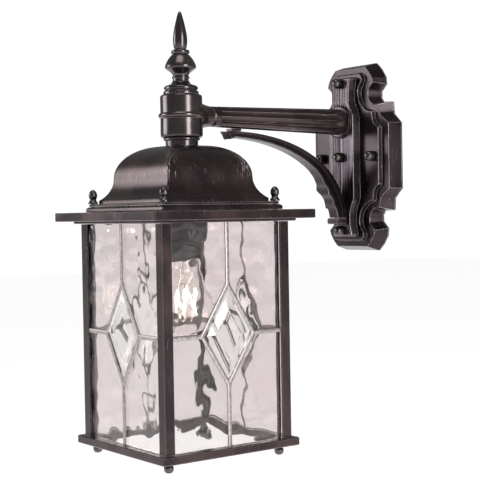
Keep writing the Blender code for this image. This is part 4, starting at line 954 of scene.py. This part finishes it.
def pane_face(bm, half_width, half_height, depth_at):
    """One face of a pane: rows of points from its lozenge-shaped opening out to its edge."""
    b = DIAMOND_HALF[0] - DIAMOND_PLAY
    a = b * DIAMOND_HALF[1] / DIAMOND_HALF[0]
    n_u, n_v = PANE_STEPS
    rows = []
    for quadrant, (sx, sz) in enumerate(((1, 1), (-1, 1), (-1, -1), (1, -1))):
        for k in range(n_u):
            t = 1 - k / n_u if quadrant % 2 else k / n_u
            inner = Vector((sx * b * (1 - t), sz * a * t))
            run = t * (half_width + half_height)
            if run <= half_height:
                rim = Vector((sx * half_width, sz * run))
            else:
                rim = Vector((sx * (half_width - (run - half_height)), sz * half_height))
            row = []
            for m in range(n_v + 1):
                spot = inner.lerp(rim, m / n_v)
                depth = depth_at(spot, min(m / 2, (n_v - m) / 2, 1))
                row.append(bm.verts.new((spot.x, -depth, spot.y)))
            rows.append(row)
    for k, row in enumerate(rows):
        following = rows[(k + 1) % len(rows)]
        for m in range(n_v):
            bm.faces.new((row[m], following[m], following[m + 1], row[m + 1]))
    return rows


def panes():
    """Sheets rippled on the outside, more gently within, with an opening for the lozenge."""
    middle_z = side_span("came", "front")[4]
    n_v = PANE_STEPS[1]
    for index, side in enumerate(SIDES):
        half_width, half_height, outer, _, _ = side_span("pane", side)
        seed = 3.1 * index
        bm = bmesh.new()
        front = pane_face(bm, half_width, half_height, lambda spot, fade: (
            outer + ripple(spot.x, spot.y, seed) * fade - RIPPLE_DEPTH * 0.9
        ))
        back = pane_face(bm, half_width, half_height, lambda spot, fade: (
            outer - PANE_THICK + ripple(spot.x, spot.y, seed + 40) * fade * INNER_RIPPLE
        ))
        for k in range(len(front)):
            j = (k + 1) % len(front)
            for m in (0, n_v):
                bm.faces.new((front[k][m], front[j][m], back[j][m], back[k][m]))
        stand_on_side(bm, side, middle_z)
        piece(f"pane_{side}_rippled", bm, "cage", "ripple_glass", f"pane_{side}", angle=60)


def diamonds():
    """Bevelled lozenges: thin at the edge, with a slope up to a flat face."""
    points = ((1, 0), (0, 1), (-1, 0), (0, -1))
    for side in SIDES:
        across, tall, near, far, height = side_span("diamond", side)
        ratio, rise = tall / across, 2 * MM
        steps = [
            (0, far), (0, near - rise), (4.2 * MM, near - rise), (5 * MM, near - rise + 0.15 * MM),
            (DIAMOND_SLOPE - 0.6 * MM, near - 0.15 * MM), (DIAMOND_SLOPE + 0.6 * MM, near),
        ]
        rings = [
            [((across - inset) * x, -depth, (across - inset) * ratio * z) for x, z in points]
            for inset, depth in steps
        ]
        bm = bmesh.new()
        skin(bm, rings)
        stand_on_side(bm, side, height)
        piece(f"diamond_{side}_bevelled", bm, "cage", "bevel_glass", f"diamond_{side}", angle=3)


def came_strip(bm, start, end, half, height, depth):
    """A strip with a rounded back between two places on the pane."""
    start, end = Vector(start), Vector(end)
    way = (end - start).normalized()
    side = Vector((-way.y, way.x))
    back = [pi * k / 8 for k in range(9)]
    section = [(-half * cos(a), height * (0.25 + 0.75 * sin(a) ** 0.7)) for a in back]
    section = [(-half, 0)] + section + [(half, 0)]
    length = (end - start).length
    stations = max(int(length / (2.5 * MM)), 2)
    rings = []
    for k in range(stations + 1):
        spot = start.lerp(end, k / stations)
        wobble = 1 + 0.05 * noise.noise(Vector((spot.x * 160, spot.y * 160, depth * 50)))
        rings.append([
            (spot.x + side.x * c * wobble, -depth - h * wobble, spot.y + side.y * c * wobble)
            for c, h in section
        ])
    skin(bm, rings)


def solder(bm, spot, radius, height, depth):
    """A flattened blob over a joint."""
    rings = []
    for k in range(6):
        a = pi / 2 * k / 6
        r, h = radius * cos(a), height * sin(a)
        rings.append([(spot[0] + r * c, -depth - h, spot[1] + r * s) for c, s in unit_circle(20)])
    skin(bm, rings)


def cames():
    """Lead round each lozenge and from its corners out to the frame."""
    b, a = DIAMOND_HALF
    corners = [(b, 0), (0, a), (-b, 0), (0, -a)]
    for side in SIDES:
        _, _, top, seat, _ = side_span("came", side)
        frame_x, frame_z, _, _, middle_z = side_span("came", "front")
        height = top - seat
        ends = [(frame_x, 0), (0, frame_z), (-frame_x, 0), (0, -frame_z)]
        bm = bmesh.new()
        for i in range(4):
            came_strip(bm, corners[i], corners[(i + 1) % 4], CAME_HALF, height * 0.86, seat)
        for i in (0, 2, 1, 3):
            came_strip(bm, corners[i], ends[i], CAME_HALF, height * 0.86, seat)
        for spot in corners:
            solder(bm, spot, CAME_SWELL, height, seat)
        stand_on_side(bm, side, middle_z)
        piece(f"came_{side}_soldered", bm, "cage", "came_lead", f"came_{side}", angle=50)


# ---- lamp

def lamp():
    """Lampholder, and the clear lamp screwed into it."""
    turned_in_box("lampholder_body", "bracket", "holder_plastic", [
        (0.24, 1), (0.37, 1), (0.42, 0.985), (0.8, 0.955), (0.93, 0.92), (1, 0.86), (1, 0.46),
        (0.985, 0.435), (0.86, 0.415), (0.835, 0.4), (0.835, 0.36), (0.82, 0.34), (0.82, 0.26),
        (0.835, 0.24), (0.835, 0.16), (0.82, 0.14), (0.82, 0.06), (0.835, 0.04), (0.82, 0),
        (0.62, 0), (0.61, 0.02), (0.61, 0.67), (0.24, 0.67),
    ], steps=3, ring=True, corner=40)
    r, tall = radius_and_length("bulb_cap")
    pitch = 3.62 * MM
    outline = [
        (0, tall), (r * 0.34, tall), (r * 0.4, tall - 1.5 * MM), (r * 0.7, tall - 4.2 * MM),
        (r * 0.9, tall - 5.4 * MM),
    ]
    z = tall - 6.6 * MM
    while z > 3 * MM:
        outline += [(r * x, z - pitch * y) for x, y in ((1, 0), (0.97, 0.25), (0.93, 0.5), (0.97, 0.75))]
        z -= pitch
    outline += [(r * 0.99, 2 * MM), (r * 0.985, 0), (r * 0.93, 0)]
    outline += [(r * 0.92, tall - 7 * MM), (0, tall - 7 * MM)]
    turned("bulb_cap", "bulb", "nickel", outline, "bulb_cap_threaded", segments=60, steps=4, corner=50)
    r, tall = radius_and_length("bulb_glass")
    neck, skin_wall = 12 * MM, 0.7 * MM

    def envelope(shrink):
        points = []
        for k in range(1, 13):
            t = radians(-90 + 118 * k / 12)
            points.append(((r - shrink) * cos(t), r + (r - shrink) * sin(t)))
        neckline = [(r * 0.7, r * 1.82), (r * 0.52, r * 2.12), (neck + 0.6 * MM, r * 2.36)]
        neckline += [(neck, r * 2.56), (neck, tall)]
        return points + [(radius - shrink, height) for radius, height in neckline]

    outline = [(0, 0)] + envelope(0) + list(reversed(envelope(skin_wall))) + [(0, skin_wall)]
    turned("bulb_glass", "bulb", "bulb_glass", outline, "bulb_envelope", steps=3, corner=70)
    turned_in_box("bulb_stem", "bulb", "bulb_glass", [
        (0, 1), (1, 1), (0.95, 0.9), (0.62, 0.8), (0.4, 0.66), (0.32, 0.5), (0.3, 0.38), (0.42, 0.33),
        (0.2, 0.28), (0, 0.27),
    ], name="bulb_stem_drawn", segments=40, steps=3, corner=70)
    low, high, middle = span("bulb_stem")
    filament(Vector((middle.x, middle.y, lerp(low.z, high.z, 0.3))))


def filament(hub_point):
    """A coiled filament that zig-zags down from seven wire supports, as in a rough-service lamp."""
    ring, top, bottom, bends = 11 * MM, 6 * MM, 33 * MM, 12
    points = []
    for k in range(bends + 1):
        a = radians(20 + 320 * k / bends)
        drop = top if k % 2 == 0 else bottom
        radius = ring * (0.8 if k % 2 == 0 else 1)
        points.append(tuple(hub_point + Vector((radius * cos(a), radius * sin(a), -drop))))
    coil = []
    turns = 26
    for start, end in zip(points, points[1:]):
        along = Vector(end) - Vector(start)
        side = along.cross(Vector((0, 0, 1))).normalized()
        across = along.cross(side).normalized()
        for k in range(turns * 6):
            t = k / (turns * 6)
            phase = 2 * pi * turns * t
            swing = (side * cos(phase) + across * sin(phase)) * COIL_RADIUS
            coil.append(tuple(Vector(start) + along * t + swing))
    wires = [(coil, 0.14 * MM, "filament", "bulb_filament")]
    for index in range(0, bends + 1, 2):
        tip = Vector(points[index])
        out = (tip - hub_point) * 0.15
        foot = hub_point + Vector((out.x, out.y, 2 * MM))
        wires.append(([tuple(foot), tuple(tip)], 0.2 * MM, "nickel", f"bulb_support_{index // 2 + 1}"))
    for route, radius, surface, name in wires:
        curve = bpy.data.curves.new(name, "CURVE")
        curve.dimensions = "3D"
        curve.bevel_depth = radius
        curve.bevel_resolution = 1
        curve.use_fill_caps = True
        spline = curve.splines.new("POLY")
        spline.points.add(len(route) - 1)
        for target, point in zip(spline.points, route):
            target.co = (*point, 1)
        curve.materials.append(MATERIALS[surface])
        place(new_object(name, curve), "bulb", "bulb_glass")


# ---- hidden and small carried pieces

def carried_pieces():
    """Small CAD solids that stay as they are, with their edges softened."""
    for node, width in (
        ("mounting_bar", 0.4 * MM), ("wall_gasket", 0.2 * MM), ("brace_spacer", 0.5 * MM),
        ("brace_clip", 0.3 * MM), ("lead_grommet", 0.4 * MM), ("earth_screw", 0.2 * MM),
    ):
        bevelled(frame["nodes"][node], width)


# ---- stage

def studio():
    bm = bmesh.new()
    bmesh.ops.create_grid(bm, x_segments=2, y_segments=2, size=12)
    bmesh.ops.translate(bm, verts=bm.verts, vec=(0, 0, cad_low.z - FLOOR_DROP))
    pale = Nodes("floor_pale")
    pale.set(Base_Color=(0.985, 0.985, 0.985, 1), Roughness=0.9)
    floor = mesh_object("floor", bm, pale.material)
    middle = (cad_low + cad_high) / 2

    def softbox(name, azimuth, elevation, distance, size, power):
        a, e = radians(azimuth), radians(elevation)
        way = Vector((sin(a) * cos(e), -cos(a) * cos(e), sin(e)))
        data = bpy.data.lights.new(name, "AREA")
        data.shape = "RECTANGLE"
        data.size, data.size_y = size
        data.energy = power
        light = new_object(name, data)
        light.location = middle + way * distance
        light.rotation_mode = "QUATERNION"
        light.rotation_quaternion = (-way).to_track_quat("-Z", "Y")

    softbox("panel_left", -44, 14, 1.9, (0.9, 0.72), 13)
    softbox("strip_right", 92, 10, 1.7, (0.5, 1.2), 20)
    softbox("top_soft", 40, 70, 1.6, (0.9, 0.9), 8)
    world = bpy.data.worlds.new("studio")
    bpy.context.scene.world = world
    world.use_nodes = True
    nodes, links = world.node_tree.nodes, world.node_tree.links
    background = nodes["Background"]
    path = nodes.new("ShaderNodeLightPath")
    strength = nodes.new("ShaderNodeMapRange")
    through = nodes.new("ShaderNodeMath")
    through.operation = "SUBTRACT"
    through.use_clamp = True
    links.new(path.outputs["Is Glossy Ray"], through.inputs[0])
    links.new(path.outputs["Is Transmission Ray"], through.inputs[1])
    links.new(through.outputs[0], strength.inputs["Value"])
    strength.inputs["To Min"].default_value = ROOM_BRIGHT
    strength.inputs["To Max"].default_value = ROOM_IN_METAL
    links.new(strength.outputs["Result"], background.inputs["Strength"])
    background.inputs["Color"].default_value = (1, 1, 1, 1)
    bpy.context.scene.view_settings.view_transform = "Standard"


def camera():
    turn, pitch, roll = (radians(v) for v in (CAMERA_TURN, CAMERA_PITCH, CAMERA_ROLL))
    forward = Vector((-sin(turn) * cos(pitch), cos(turn) * cos(pitch), -sin(pitch)))
    right = Vector((cos(turn), sin(turn), 0))
    up = right.cross(forward)
    rolled_right = right * cos(roll) + up * sin(roll)
    rolled_up = up * cos(roll) - right * sin(roll)
    data = bpy.data.cameras.new("camera")
    data.lens = CAMERA_LENS
    data.sensor_width = CAMERA_SENSOR
    made = new_object("camera", data)
    basis = Matrix((rolled_right, rolled_up, -forward)).transposed().to_4x4()
    made.matrix_world = Matrix.Translation(CAMERA_PLACE) @ basis
    bpy.context.scene.camera = made


camera()
studio()
finial()
hub()
domed_fasteners()
arm()
brace()
plate()
panel()
roof()
plinth_and_eave()
frames_and_posts()
panes()
cames()
diamonds()
lamp()
carried_pieces()
